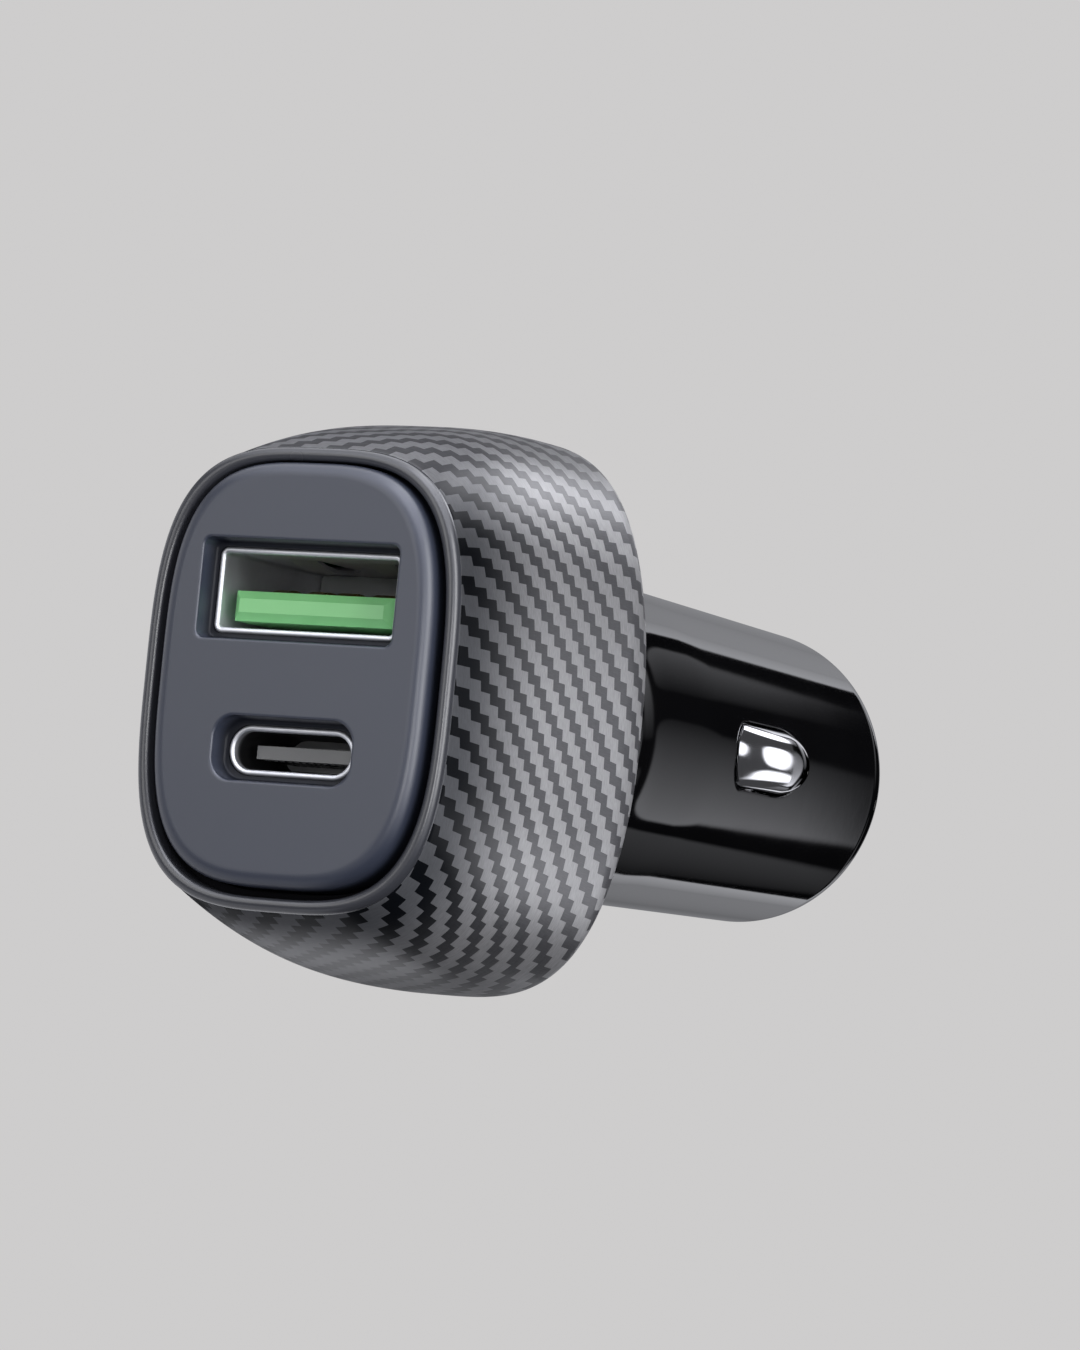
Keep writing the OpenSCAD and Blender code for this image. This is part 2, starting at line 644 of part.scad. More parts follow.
// Coil spring behind the nose contact: a round wire wound in closed-end turns
module centre_spring() {
  turns = 6;
  per_turn = 18;
  sides = 6;
  steps = turns * per_turn;
  low = spring_low + wire_r + 0.02;
  high = spring_top - wire_r - 0.02;
  function lift(u) = low + (high - low) * min(1, max(0, (u * turns - 0.8) / (turns - 1.6)));
  function wire_ring(i) = let (u = i / steps, t = 360 * turns * u)
    [for (k = [0:sides - 1]) let (q = 360 * k / sides, r = coil_r + wire_r * cos(q))
      [r * cos(t), r * sin(t), lift(u) + wire_r * sin(q)]];
  color([0.7, 0.7, 0.72]) lay() ring_stack([for (i = [0:steps]) wire_ring(i)]);
}

// Brass cup on the board's end: the spring's seat and the positive pole
module positive_cup() {
  grip = 3;
  color([0.8, 0.65, 0.3]) lay() {
    difference() {
      translate([0, 0, seat_top - 0.9]) cylinder(h = cup_t + 0.9, r = coil_r + wire_r + 0.7);
      translate([0, 0, seat_top - 0.9 - cut]) cylinder(h = 0.9 + cut, r = coil_r + wire_r + 0.15);
    }
    for (s = [-1, 1]) {
      y = s * (board_t / 2 + 0.2 + 0.01);
      translate([0, y, board_end + grip / 2 - 0.05]) cube([4, 0.4, grip + 0.1], center = true);
    }
  }
}

// SIDE CONTACTS

// D-shaped ring across x: flat end at z0, round end at z1, width w
function d_ring(x, w, z0, z1, corner) =
  let (e = w / 2)
  concat(
    [for (q = [0:22.5:90]) [x, e - corner + corner * sin(90 - q), z0 - corner + corner * sin(q)]],
    [for (q = [0:22.5:90]) [x, -e + corner - corner * sin(q), z0 - corner + corner * cos(q)]],
    [for (q = [0:10:180]) [x, -e * cos(q), z1 + e * (1 - sin(q))]]);

// Stamped strip with a pressed bump that stands out of the barrel's window
module side_contact() {
  peak = taper_r(-side_from - 3) + side_rise;
  base = leaf_x + leaf_t;
  shoulder = taper_r(-side_from) - 0.3;
  z0 = -side_from;
  z1 = -side_from - side_len;
  rise = peak - shoulder;
  dome = [for (u = [90:-11.25:0]) d_ring(shoulder + rise * sin(u), side_w * (0.3 + 0.7 * cos(u)),
    z0 - 0.55 * (1 - cos(u)), z1 + side_len * 0.5 * (1 - cos(u)), 0.5 * (0.3 + 0.7 * cos(u)))];
  difference() {
    union() {
      block([leaf_x, -leaf_w / 2, leaf_low], [base, leaf_w / 2, leaf_high]);
      ring_stack(concat(dome, [d_ring(base - 0.1, side_w, z0, z1, 0.5)]));
      block([leaf_x - 2.2, board_t / 2 + 0.02, board_step + 0.2],
        [leaf_x + 0.01, board_t / 2 + leaf_t, leaf_high]);
    }
    translate([leaf_x - cut, 0, 0]) rotate([0, 90, 0]) linear_extrude(cut + 1.6) {
      translate([-z0 + 0.8, -side_w / 2 + 0.7]) square([side_len - 2.8, side_w - 1.4]);
      translate([-z1 - 2, 0]) circle(side_w / 2 - 0.7);
    }
  }
}

module side_contact_right() {
  color([0.85, 0.85, 0.87]) lay() side_contact();
}

module side_contact_left() {
  color([0.85, 0.85, 0.87]) lay() mirror([1, 0, 0]) side_contact();
}

// COMPONENTS

// Shielded power inductor: square ferrite with a round winding window
module power_inductor() {
  color([0.22, 0.22, 0.23]) lay() difference() {
    translate([0, top, coil_z]) rotate([-90, 0, 0]) linear_extrude(4.2) rounded(7, 7, 1.2);
    translate([0, top + 3.7, coil_z]) rotate([-90, 0, 0]) difference() {
      cylinder(h = 2, r = 2.9);
      translate([0, 0, -cut]) cylinder(h = 4, r = 2.1);
    }
  }
}

// Upright can capacitor of radius r and height h on its moulded base; s is the board side
module can_capacitor(r, h, z, s) {
  translate([0, s * top, z]) rotate([-90 * s, 0, 0]) {
    linear_extrude(1) difference() {
      square([2 * r + 0.4, 2 * r + 0.4], center = true);
      translate([r + 0.2, r + 0.2]) rotate([0, 0, 45]) square([1.4, 1.4], center = true);
      translate([-r - 0.2, r + 0.2]) rotate([0, 0, 45]) square([1.4, 1.4], center = true);
    }
    translate([0, 0, 0.99]) rotate_extrude() difference() {
      square([r, h - 0.99]);
      translate([r + 0.25, 0.9]) circle(0.5);
    }
  }
}

module input_capacitor() {
  color([0.72, 0.73, 0.76]) lay() can_capacitor(input_can[0], input_can[1], input_can[2], 1);
}

module output_capacitor() {
  color([0.7, 0.71, 0.75]) lay() can_capacitor(output_can[0], output_can[1], output_can[2], -1);
}

// Moulded chip with gull-wing leads along two sides; s is the board side
module leaded_chip(z, w, l, h, leads, s) {
  chip_body(0, z, w, l, s * (top + 0.1), s * (top + h));
  for (i = [0:leads - 1], x = [-1, 1]) {
    chip_body(x * (w / 2 + 0.45), z + (i - (leads - 1) / 2) * 1.1, 0.92, 0.4, s * top, s * (top + 0.4));
  }
}

module converter_chip() {
  color([0.12, 0.12, 0.13]) lay() leaded_chip(chip_z, 3.9, 4.9, 1.6, 4, -1);
}

// Fast-charge chip on the back of the port board, below the legs of the USB-C socket
module port_chip() {
  side = 4;
  high = -usb_c_y - usb_c_h / 2 - socket_wall - 1.3;
  color([0.12, 0.12, 0.13]) lay() {
    block([-side / 2, high - side, main_board_z - 1.02], [side / 2, high, main_board_z - 0.02]);
  }
}

// Power transistor: body, metal tab and three legs
module power_transistor() {
  z = -1.2;
  color([0.14, 0.14, 0.15]) lay() {
    chip_body(0, z, 6.4, 5.6, -top - 0.4, -top - 2.3);
    chip_body(0, z + 3.2, 5.2, 1.2, -top, -top - 0.5);
    chip_body(0, z - 0.6, 5.2, 5, -top, -top - 0.41);
    for (x = [-2.2, 2.2]) {
      chip_body(x, z - 3.4, 0.8, 1.4, -top, -top - 0.7);
    }
  }
}

module rectifier_diode() {
  z = -2.2;
  color([0.16, 0.16, 0.17]) lay() {
    chip_body(0, z, 3.4, 4.2, top + 0.1, top + 2.2);
    for (s = [-1, 1]) {
      chip_body(0, z + s * 2.3, 2, 0.9, top, top + 0.9);
    }
  }
}

// Surface fuse near the nose, in line with the positive cup
module board_fuse() {
  color([0.85, 0.83, 0.78]) lay() chip_body(0, fuse_z, 2.5, 2.6, -top, -top - 1.4);
}

// Ceramic capacitors in a row beside the inductor and at the board's front
module ceramic_capacitors() {
  color([0.66, 0.54, 0.4]) lay() {
    for (s = [-1, 1], z = [1, 3.4]) {
      chip_body(s * (board_wide / 2 - 2.3), z, 2.6, 1.6, top, top + 1.2);
    }
    for (s = [-1, 1]) {
      chip_body(s * (board_slim / 2 - 1), chip_z - 2.8, 1.5, 2.6, -top, -top - 1.2);
    }
  }
}

// Chip resistors on the underside
module chip_resistors() {
  color([0.13, 0.13, 0.15]) lay() {
    for (s = [-1, 1], z = [chip_z + 1.6, chip_z]) {
      chip_body(s * (board_slim / 2 - 0.9), z, 1.2, 0.8, -top, -top - 0.45);
    }
    for (s = [-1, 1], z = [2, 4]) {
      chip_body(s * (board_wide / 2 - 2.2), z, 1.6, 0.8, -top, -top - 0.45);
    }
  }
}

head_shell();
bezel_ring();
face_panel();
barrel();
usb_a_shell();
usb_a_tongue();
usb_a_contacts();
usb_c_shell();
usb_c_tongue();
usb_c_contacts();
port_board();
main_board();
positive_cup();
centre_spring();
centre_contact();
side_contact_right();
side_contact_left();
power_inductor();
input_capacitor();
output_capacitor();
converter_chip();
port_chip();
power_transistor();
rectifier_diode();
board_fuse();
ceramic_capacitors();
chip_resistors();
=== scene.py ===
import json
import math

import bmesh
import bpy
import numpy as np
from mathutils import Matrix, Vector


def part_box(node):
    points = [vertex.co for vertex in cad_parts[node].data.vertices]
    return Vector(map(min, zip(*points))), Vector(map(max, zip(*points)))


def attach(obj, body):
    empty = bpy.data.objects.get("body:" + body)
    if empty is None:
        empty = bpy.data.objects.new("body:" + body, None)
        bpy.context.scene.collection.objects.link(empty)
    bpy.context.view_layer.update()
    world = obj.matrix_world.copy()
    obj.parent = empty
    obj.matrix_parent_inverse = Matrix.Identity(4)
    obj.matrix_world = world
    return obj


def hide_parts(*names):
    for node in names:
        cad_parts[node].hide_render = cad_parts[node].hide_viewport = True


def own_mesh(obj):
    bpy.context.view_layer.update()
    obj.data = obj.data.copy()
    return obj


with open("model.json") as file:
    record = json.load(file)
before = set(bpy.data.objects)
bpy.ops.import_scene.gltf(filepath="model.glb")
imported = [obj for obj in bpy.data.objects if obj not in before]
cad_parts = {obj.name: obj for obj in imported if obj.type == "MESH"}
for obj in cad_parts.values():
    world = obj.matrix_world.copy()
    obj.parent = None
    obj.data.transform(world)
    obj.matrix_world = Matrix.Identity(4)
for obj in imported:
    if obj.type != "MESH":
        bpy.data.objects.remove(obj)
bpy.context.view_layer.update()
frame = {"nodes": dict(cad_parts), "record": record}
print("frame loaded,", len(frame["nodes"]), "nodes")

mm = 0.001
rootStart = 1.5  # mm from the shoulder to the start of the straight root, where Y is 0

# What the camera sees, in metres and degrees
view = {"azimuth": 28.88, "elevation": -4.21, "roll": 5.59, "distance": 0.4, "lens": 170.45,
        "target": (0.0, -0.0066, 0.0), "shiftRight": 0.0053, "shiftUp": 0.00243, "clip": (0.01, 20)}


# Mesh tools

# Distances in metres: points nearer than the first are joined, and edges shorter than the second collapse
seam = {"join": 2e-6, "collapse": 1e-7}


def gridPatch(points, wrap=False, uv=None, keep=None):
    # Quads between neighbours on a rows x columns grid; wrap joins the last column to the first
    rows, columns = points.shape[:2]
    i, j = np.meshgrid(np.arange(rows - 1), np.arange(columns if wrap else columns - 1), indexing="ij")
    k = (j + 1) % columns
    faces = np.stack([i * columns + j, i * columns + k, (i + 1) * columns + k, (i + 1) * columns + j], -1)
    if uv is None:
        corners = np.zeros(faces.shape + (2,))
    else:
        corners = np.stack([uv[i, j], uv[i, j + 1], uv[i + 1, j + 1], uv[i + 1, j]], 2)
    chosen = np.ones(i.shape, bool) if keep is None else keep[i, j]
    return points.reshape(-1, 3), faces[chosen], corners[chosen]


def column(values):
    return np.asarray(values, float)[:, None]


def row(x, y, z):
    # From face-up millimetres to the row frame: z runs towards the face, so it becomes minus Y
    x, y, z = np.broadcast_arrays(x, y, z)
    return np.stack([x, -z - rootStart, y], -1).astype(float)


def aroundAxis(radius, level, angle):
    return row(radius * np.cos(angle), radius * np.sin(angle), level)


def addObject(name, data):
    piece = bpy.data.objects.new(name, data)
    bpy.context.scene.collection.objects.link(piece)
    return piece


def buildPiece(name, patches, body, slot, replaced=(), crease=40.0):
    # Joins the patches, closes their seams, turns the faces outwards and shades them smoothly
    starts = np.cumsum([0] + [len(p[0]) for p in patches[:-1]])
    points = np.concatenate([p[0] for p in patches]) * mm
    faces = np.concatenate([p[1] + s for p, s in zip(patches, starts)])
    corners = np.concatenate([p[2] for p in patches])
    mesh = bpy.data.meshes.new(name)
    mesh.from_pydata(points.tolist(), [], faces.tolist())
    mesh.uv_layers.new(name="surface").data.foreach_set("uv", corners.astype(np.float32).ravel())
    shape = bmesh.new()
    shape.from_mesh(mesh)
    bmesh.ops.remove_doubles(shape, verts=shape.verts, dist=seam["join"])
    bmesh.ops.dissolve_degenerate(shape, edges=shape.edges, dist=seam["collapse"])
    bmesh.ops.delete(shape, geom=[v for v in shape.verts if not v.link_faces], context="VERTS")
    bmesh.ops.recalc_face_normals(shape, faces=shape.faces)
    shape.to_mesh(mesh)
    shape.free()
    mesh.shade_smooth()
    mesh.set_sharp_from_angle(angle=math.radians(crease))
    piece = addObject(name, mesh)
    mesh.materials.append(finishes[slot])
    if replaced:
        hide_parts(*replaced)
    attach(piece, body)
    print("built", name, len(mesh.polygons), "faces")
    return piece


def roundedOutline(halfWidth, halfHeight, radius, count=4000):
    # Points round a rectangle with quarter-circle corners
    angle = np.linspace(0, 2 * np.pi, count, endpoint=False)
    x = np.sign(np.cos(angle)) * (halfWidth - radius) + radius * np.cos(angle)
    y = np.sign(np.sin(angle)) * (halfHeight - radius) + radius * np.sin(angle)
    return fillOutline(x, y, count)


def fillOutline(x, y, count):
    # The same closed line with its points spread evenly along it
    x, y = np.append(x, x[0]), np.append(y, y[0])
    length = np.concatenate([[0], np.cumsum(np.hypot(np.diff(x), np.diff(y)))])
    even = np.linspace(0, length[-1], count, endpoint=False)
    return np.stack([np.interp(even, length, x), np.interp(even, length, y)], -1)


def outlineTowards(outline, centre, angles):
    # Where rays from the centre at these angles meet a closed line round it
    offset = outline - np.asarray(centre)
    direction = np.arctan2(offset[:, 1], offset[:, 0])
    order = np.argsort(direction)
    reach = np.interp(angles, direction[order], np.hypot(*offset.T)[order], period=2 * np.pi)
    return np.asarray(centre) + reach[..., None] * np.stack([np.cos(angles), np.sin(angles)], -1)


def depthMap(levels, surface, columns):
    # Surface map whose first value is the depth in mm below a surface level; the panel and ring finishes
    # turn it into painted shade
    return np.stack(np.broadcast_arrays(surface - column(levels), np.arange(columns + 1) / columns), -1)


# Finishes, with the depth in metres that each kind's relief stands for

finishes = {}
relief = {"plastic": 0.00004, "metal": 0.00002, "board": 0.00003, "film": 0.00003}


def newFinish(name):
    material = bpy.data.materials.new(name)
    material.use_nodes = True
    finishes[name] = material
    return material.node_tree, material.node_tree.nodes["Principled BSDF"]


def put(tree, socket, value):
    # Links a socket, or writes a plain value
    if hasattr(value, "is_linked"):
        tree.links.new(value, socket)
    else:
        socket.default_value = value


def maths(tree, operation, *values):
    node = tree.nodes.new("ShaderNodeMath")
    node.operation = operation
    for socket, value in zip(node.inputs, values):
        put(tree, socket, value)
    return node.outputs[0]


def blendColour(tree, amount, first, second):
    node = tree.nodes.new("ShaderNodeMix")
    node.data_type = "RGBA"
    put(tree, node.inputs["Factor"], amount)
    put(tree, node.inputs["A"], first)
    put(tree, node.inputs["B"], second)
    return node.outputs["Result"]


def mapRange(tree, value, fromLow, fromHigh, low, high, smooth=False):
    node = tree.nodes.new("ShaderNodeMapRange")
    node.interpolation_type = "SMOOTHSTEP" if smooth else "LINEAR"
    for socket, number in zip(node.inputs, (value, fromLow, fromHigh, low, high)):
        put(tree, socket, number)
    return node.outputs[0]


def noise(tree, vector, scale, detail=3.0, roughness=0.55):
    node = tree.nodes.new("ShaderNodeTexNoise")
    put(tree, node.inputs["Vector"], vector)
    put(tree, node.inputs["Scale"], scale)
    node.inputs["Detail"].default_value = detail
    node.inputs["Roughness"].default_value = roughness
    return node.outputs["Fac"]


def place(tree):
    return tree.nodes.new("ShaderNodeTexCoord").outputs["Object"]


def split(tree, vector):
    # The three numbers of a vector
    node = tree.nodes.new("ShaderNodeSeparateXYZ")
    put(tree, node.inputs[0], vector)
    return node.outputs


def surfaceMap(tree):
    node = tree.nodes.new("ShaderNodeUVMap")
    node.uv_map = "surface"
    return node.outputs[0]


def stretch(tree, vector, scale):
    node = tree.nodes.new("ShaderNodeMapping")
    put(tree, node.inputs["Vector"], vector)
    node.inputs["Scale"].default_value = scale
    return node.outputs[0]


def bump(tree, height, strength, distance):
    node = tree.nodes.new("ShaderNodeBump")
    node.inputs["Strength"].default_value = strength
    node.inputs["Distance"].default_value = distance
    put(tree, node.inputs["Height"], height)
    return node.outputs[0]


def newGroup(name, inputs, outputs):
    group = bpy.data.node_groups.new(name, "ShaderNodeTree")
    for label, kind in inputs:
        group.interface.new_socket(name=label, in_out="INPUT", socket_type=kind)
    for label, kind in outputs:
        group.interface.new_socket(name=label, in_out="OUTPUT", socket_type=kind)
    return group, group.nodes.new("NodeGroupInput"), group.nodes.new("NodeGroupOutput")


def useGroup(tree, group, **values):
    node = tree.nodes.new("ShaderNodeGroup")
    node.node_tree = group
    for label, value in values.items():
        put(tree, node.inputs[label], value)
    return node.outputs


# Moulding grain: fine spark texture as a height, and slow cloudy variation as a mask
mouldGrain, given, result = newGroup(
    "mouldGrain",
    [("Place", "NodeSocketVector"), ("Grain", "NodeSocketFloat"), ("Cloud", "NodeSocketFloat")],
    [("Height", "NodeSocketFloat"), ("Mask", "NodeSocketFloat")])
spot, grain, cloud = [given.outputs[label] for label in ("Place", "Grain", "Cloud")]
put(mouldGrain, result.inputs["Height"], noise(mouldGrain, spot, grain, 4, 0.7))
put(mouldGrain, result.inputs["Mask"],
    mapRange(mouldGrain, noise(mouldGrain, spot, cloud, 2, 0.5), 0.3, 0.7, 0, 1))

# Rubbed metal: long thin streaks across a direction, and soft stains
rubbedMetal, given, result = newGroup(
    "rubbedMetal", [("Place", "NodeSocketVector"), ("Stains", "NodeSocketFloat")],
    [("Streaks", "NodeSocketFloat"), ("Mask", "NodeSocketFloat")])
put(rubbedMetal, result.inputs["Streaks"],
    noise(rubbedMetal, stretch(rubbedMetal, given.outputs["Place"], (9000, 500, 9000)), 1.0, 3, 0.6))
stainNoise = noise(rubbedMetal, given.outputs["Place"], given.outputs["Stains"], 3, 0.6)
put(rubbedMetal, result.inputs["Mask"], mapRange(rubbedMetal, stainNoise, 0.35, 0.7, 0, 1))


def patchy(tree, shader, mask, first, second, roughness):
    # Colour and roughness go from their first value to their second one with the mask
    put(tree, shader.inputs["Base Color"], blendColour(tree, mask, first + (1,), second + (1,)))
    put(tree, shader.inputs["Roughness"], mapRange(tree, mask, 0, 1, *roughness))


def plasticFinish(name, first, second, roughness, depth, grain, cloud):
    # Moulded plastic: two close colours in slow clouds, and fine grain
    tree, shader = newFinish(name)
    mould = useGroup(tree, mouldGrain, Place=place(tree), Grain=grain, Cloud=cloud)
    patchy(tree, shader, mould["Mask"], first, second, roughness)
    put(tree, shader.inputs["Normal"], bump(tree, mould["Height"], depth, relief["plastic"]))
    shader.inputs["IOR"].default_value = 1.5


def metalFinish(name, first, second, roughness, depth):
    # Plated or bare metal: stains, and thin streaks that rub the surface
    tree, shader = newFinish(name)
    rub = useGroup(tree, rubbedMetal, Place=place(tree), Stains=stainsPerMetre)
    patchy(tree, shader, rub["Mask"], first, second, roughness)
    shader.inputs["Metallic"].default_value = 1.0
    put(tree, shader.inputs["Normal"], bump(tree, rub["Streaks"], depth, relief["metal"]))


# Two linear colours, the roughness at each, the relief's strength, and for plastics the grain and the clouds
# per metre
plastics = {
    "satin_panel": ((0.028, 0.034, 0.055), (0.031, 0.037, 0.059), (0.34, 0.38), 0.06, 9000.0, 90.0),
    "satin_ring": ((0.040, 0.042, 0.052), (0.045, 0.047, 0.057), (0.24, 0.28), 0.05, 9000.0, 160.0),
    "gloss_black": ((0.0035, 0.0035, 0.0042), (0.0045, 0.0045, 0.0052), (0.035, 0.06), 0.015, 700.0, 120.0),
    "green_insulator": ((0.20, 0.56, 0.21), (0.23, 0.60, 0.24), (0.30, 0.38), 0.08, 5000.0, 300.0),
    "grey_insulator": ((0.11, 0.112, 0.115), (0.125, 0.127, 0.13), (0.35, 0.45), 0.1, 6000.0, 160.0),
    "chip_black": ((0.018, 0.018, 0.019), (0.026, 0.026, 0.027), (0.45, 0.6), 0.25, 9000.0, 700.0),
    "ferrite": ((0.045, 0.045, 0.05), (0.06, 0.058, 0.06), (0.5, 0.65), 0.3, 7000.0, 600.0),
    "ceramic_body": ((0.58, 0.56, 0.5), (0.64, 0.62, 0.57), (0.3, 0.4), 0.1, 5000.0, 900.0),
    "ceramic_tan": ((0.36, 0.25, 0.15), (0.42, 0.3, 0.19), (0.35, 0.45), 0.1, 5000.0, 900.0)}
metals = {
    "nickel": ((0.52, 0.53, 0.56), (0.47, 0.48, 0.51), (0.46, 0.56), 0.05),
    "gilt_contact": ((0.78, 0.57, 0.24), (0.68, 0.48, 0.2), (0.18, 0.3), 0.05),
    "brass_cup": ((0.74, 0.54, 0.24), (0.6, 0.43, 0.2), (0.25, 0.4), 0.1),
    "spring_steel": ((0.55, 0.55, 0.56), (0.46, 0.46, 0.47), (0.22, 0.32), 0.1),
    "nickel_pin": ((0.72, 0.70, 0.66), (0.62, 0.6, 0.56), (0.12, 0.22), 0.05),
    "chrome_contact": ((0.80, 0.80, 0.82), (0.74, 0.74, 0.76), (0.05, 0.09), 0.01),
    "capacitor_can": ((0.62, 0.63, 0.66), (0.54, 0.55, 0.58), (0.25, 0.35), 0.1)}
stainsPerMetre = 420.0
for slotName, values in plastics.items():
    plasticFinish(slotName, *values)
for slotName, values in metals.items():
    metalFinish(slotName, *values)


def finishSoFar(name):
    # A finish's node tree, its shader and the colour that it has so far
    tree = finishes[name].node_tree
    shader = tree.nodes["Principled BSDF"]
    return tree, shader, shader.inputs["Base Color"].links[0].from_socket


# Painted shade deep in the socket: the green insulator turns dark grey towards the back, by its place along
# Y
socketShade = {"from": -0.0225, "to": -0.0195, "colour": (0.06, 0.065, 0.06, 1)}
tree, shader, soFar = finishSoFar("green_insulator")
backward = mapRange(tree, split(tree, place(tree))[1], socketShade["from"], socketShade["to"], 0, 1, smooth=True)
put(tree, shader.inputs["Base Color"], blendColour(tree, backward, soFar, socketShade["colour"]))

# Painted shade inside the lower socket: the metals turn dark below Z 0 and between two places along Y
insideShade = {"from": -0.0257, "to": -0.0249, "end": -0.012, "colour": (0.05, 0.05, 0.052, 1)}
for slotName in ("nickel", "gilt_contact"):
    tree, shader, soFar = finishSoFar(slotName)
    spot = split(tree, place(tree))
    lower = maths(tree, "MULTIPLY", maths(tree, "LESS_THAN", spot[2], 0.0),
                  maths(tree, "LESS_THAN", spot[1], insideShade["end"]))
    deeper = mapRange(tree, spot[1], insideShade["from"], insideShade["to"], 0, 1)
    put(tree, shader.inputs["Base Color"],
        blendColour(tree, maths(tree, "MULTIPLY", lower, deeper), soFar, insideShade["colour"]))

# Painted shade in grooves and recesses: the panel and the ring get darker and less glossy with the depth
# below their surface, which their surface map holds. The numbers are the depths in mm where that starts and
# ends, the share of the tone left there, and the gloss
depthShade = {"satin_panel": (0.25, 1.35, 0.22, 0.5), "satin_ring": (0.5, 1.3, 0.25, 0.5)}
depthShadeColour = (0.004, 0.004, 0.005, 1)
for slotName, (first, last, floorTone, gloss) in depthShade.items():
    tree, shader, soFar = finishSoFar(slotName)
    shade = mapRange(tree, split(tree, surfaceMap(tree))[0], first, last, 1.0, floorTone, smooth=True)
    put(tree, shader.inputs["Base Color"], blendColour(tree, shade, depthShadeColour, soFar))
    put(tree, shader.inputs["Specular IOR Level"], maths(tree, "MULTIPLY", shade, gloss))

# Circuit board: green mask over copper tracks that run in right angles, with small bright pads
boardLook = {"mask": (0.012, 0.10, 0.045, 1), "track": (0.03, 0.18, 0.08, 1), "pad": (0.62, 0.6, 0.5, 1),
             "cells": 620.0, "trackFrom": (0.42, 0.46), "padFrom": (0.10, 0.08), "roughness": (0.32, 0.2),
             "relief": 0.3}
tree, shader = newFinish("circuit_board")
cells = tree.nodes.new("ShaderNodeTexVoronoi")
cells.distance = "MANHATTAN"
put(tree, cells.inputs["Vector"], place(tree))
cells.inputs["Scale"].default_value = boardLook["cells"]
trackMask = mapRange(tree, cells.outputs["Distance"], *boardLook["trackFrom"], 0, 1)
padMask = mapRange(tree, cells.outputs["Distance"], *boardLook["padFrom"], 0, 1)
boardColour = blendColour(tree, trackMask, boardLook["mask"], boardLook["track"])
put(tree, shader.inputs["Base Color"], blendColour(tree, padMask, boardColour, boardLook["pad"]))
put(tree, shader.inputs["Roughness"], mapRange(tree, padMask, 0, 1, *boardLook["roughness"]))
put(tree, shader.inputs["Normal"], bump(tree, trackMask, boardLook["relief"], relief["board"]))

# Carbon film: the surface map counts strands, so whole numbers are strand edges; far below zero it is the
# bare inside. Painted light and shade: the tones run from dark at the front to lit at the back along Y and
# with the height, and painted shades darken it along Z
film = {"lightBack": (0.44, 0.44, 0.46, 1), "lightFront": (0.102, 0.106, 0.118, 1),
        "darkBack": (0.086, 0.086, 0.096, 1), "darkFront": (0.004, 0.005, 0.007, 1),
        "lightFibre": (0.05, 0.05, 0.055, 1), "darkFibre": (0.005, 0.005, 0.006, 1), "fibreShare": 0.3,
        "fibres": (9, 1.2), "fibreRange": (0.3, 0.7), "bare": (0.006, 0.006, 0.007, 1), "bareMark": -1000.0,
        "shaded": (0.002, 0.002, 0.002, 1),
        "frontY": -0.0250, "backY": -0.0138, "darkFrontY": -0.0240, "darkBackY": -0.0122,
        "top": (0.0105, 0.0145, 0.4), "spread": 0.04, "relief": 0.2, "step": 0.5, "roughness": (0.42, 0.52),
        "coat": (0.12, 0.6), "coatRoughness": 0.26, "specular": (0.0, 0.25),
        "lowShade": (-0.0112, -0.0145, 0.42), "highShade": (0.0132, 0.0160, 0.55),
        "midShade": (-0.0005, 0.0065, 0.27), "midEnd": (0.0092, 0.0108)}
tree, shader = newFinish("carbon_film")
strandPlace = surfaceMap(tree)
acrossCount, alongCount = split(tree, strandPlace)[:2]


def twillMask(tree, across, along, shift):
    # Over two, under two: the strand numbers are added, and the sum's rest by four is nought or one
    steps = maths(tree, "ADD", maths(tree, "FLOOR", maths(tree, "ADD", across, shift)),
                  maths(tree, "FLOOR", maths(tree, "ADD", along, shift)))
    return maths(tree, "LESS_THAN", maths(tree, "FLOORED_MODULO", steps, 4.0), 1.5)


outside = maths(tree, "GREATER_THAN", acrossCount, film["bareMark"] / 10)
lightMask = maths(tree, "MAXIMUM", twillMask(tree, acrossCount, alongCount, film["spread"]),
                  twillMask(tree, acrossCount, alongCount, -film["spread"]))
pillow = maths(tree, "MULTIPLY",
               maths(tree, "ABSOLUTE", maths(tree, "SINE", maths(tree, "MULTIPLY", acrossCount, math.pi))),
               maths(tree, "ABSOLUTE", maths(tree, "SINE", maths(tree, "MULTIPLY", alongCount, math.pi))))
fibreLight = noise(tree, stretch(tree, strandPlace, film["fibres"] + (1,)), 1.0, 2, 0.6)
fibreDark = noise(tree, stretch(tree, strandPlace, film["fibres"][::-1] + (1,)), 1.0, 2, 0.6)
spotY, spotZ = split(tree, place(tree))[1:]
# Painted light and shade: the strands go from dark at the front to lit at the back
backness = mapRange(tree, spotY, film["frontY"], film["backY"], 0, 1, smooth=True)
darkness = mapRange(tree, spotY, film["darkFrontY"], film["darkBackY"], 0, 1, smooth=True)


def heightRamp(ends, low=0.0):
    # From low to the third number while Z goes from the first to the second
    return mapRange(tree, spotZ, ends[0], ends[1], low, ends[2], smooth=True)


# Painted shade: the film is darker low and high at the back, and in a band above the middle
farShade = maths(tree, "MULTIPLY", backness,
                 maths(tree, "MAXIMUM", heightRamp(film["lowShade"]), heightRamp(film["highShade"])))
midShade = maths(tree, "MULTIPLY", heightRamp(film["midShade"]), heightRamp(film["midEnd"] + (0.0,), 1.0))
shadeShare = maths(tree, "MAXIMUM", farShade, midShade)
# Painted light: towards the top the front is less darkened
topness = heightRamp(film["top"])
backness = maths(tree, "MAXIMUM", backness, topness)
darkness = maths(tree, "MAXIMUM", darkness, topness)


def strandTone(front, back, way, fibre, fibreColour):
    # From the front tone, darkened with painted shade, to the lit back one, with fine fibres of a third
    # colour
    tone = blendColour(tree, way, front, back)
    share = mapRange(tree, fibre, *film["fibreRange"], 0.0, film["fibreShare"])
    return blendColour(tree, share, tone, fibreColour)


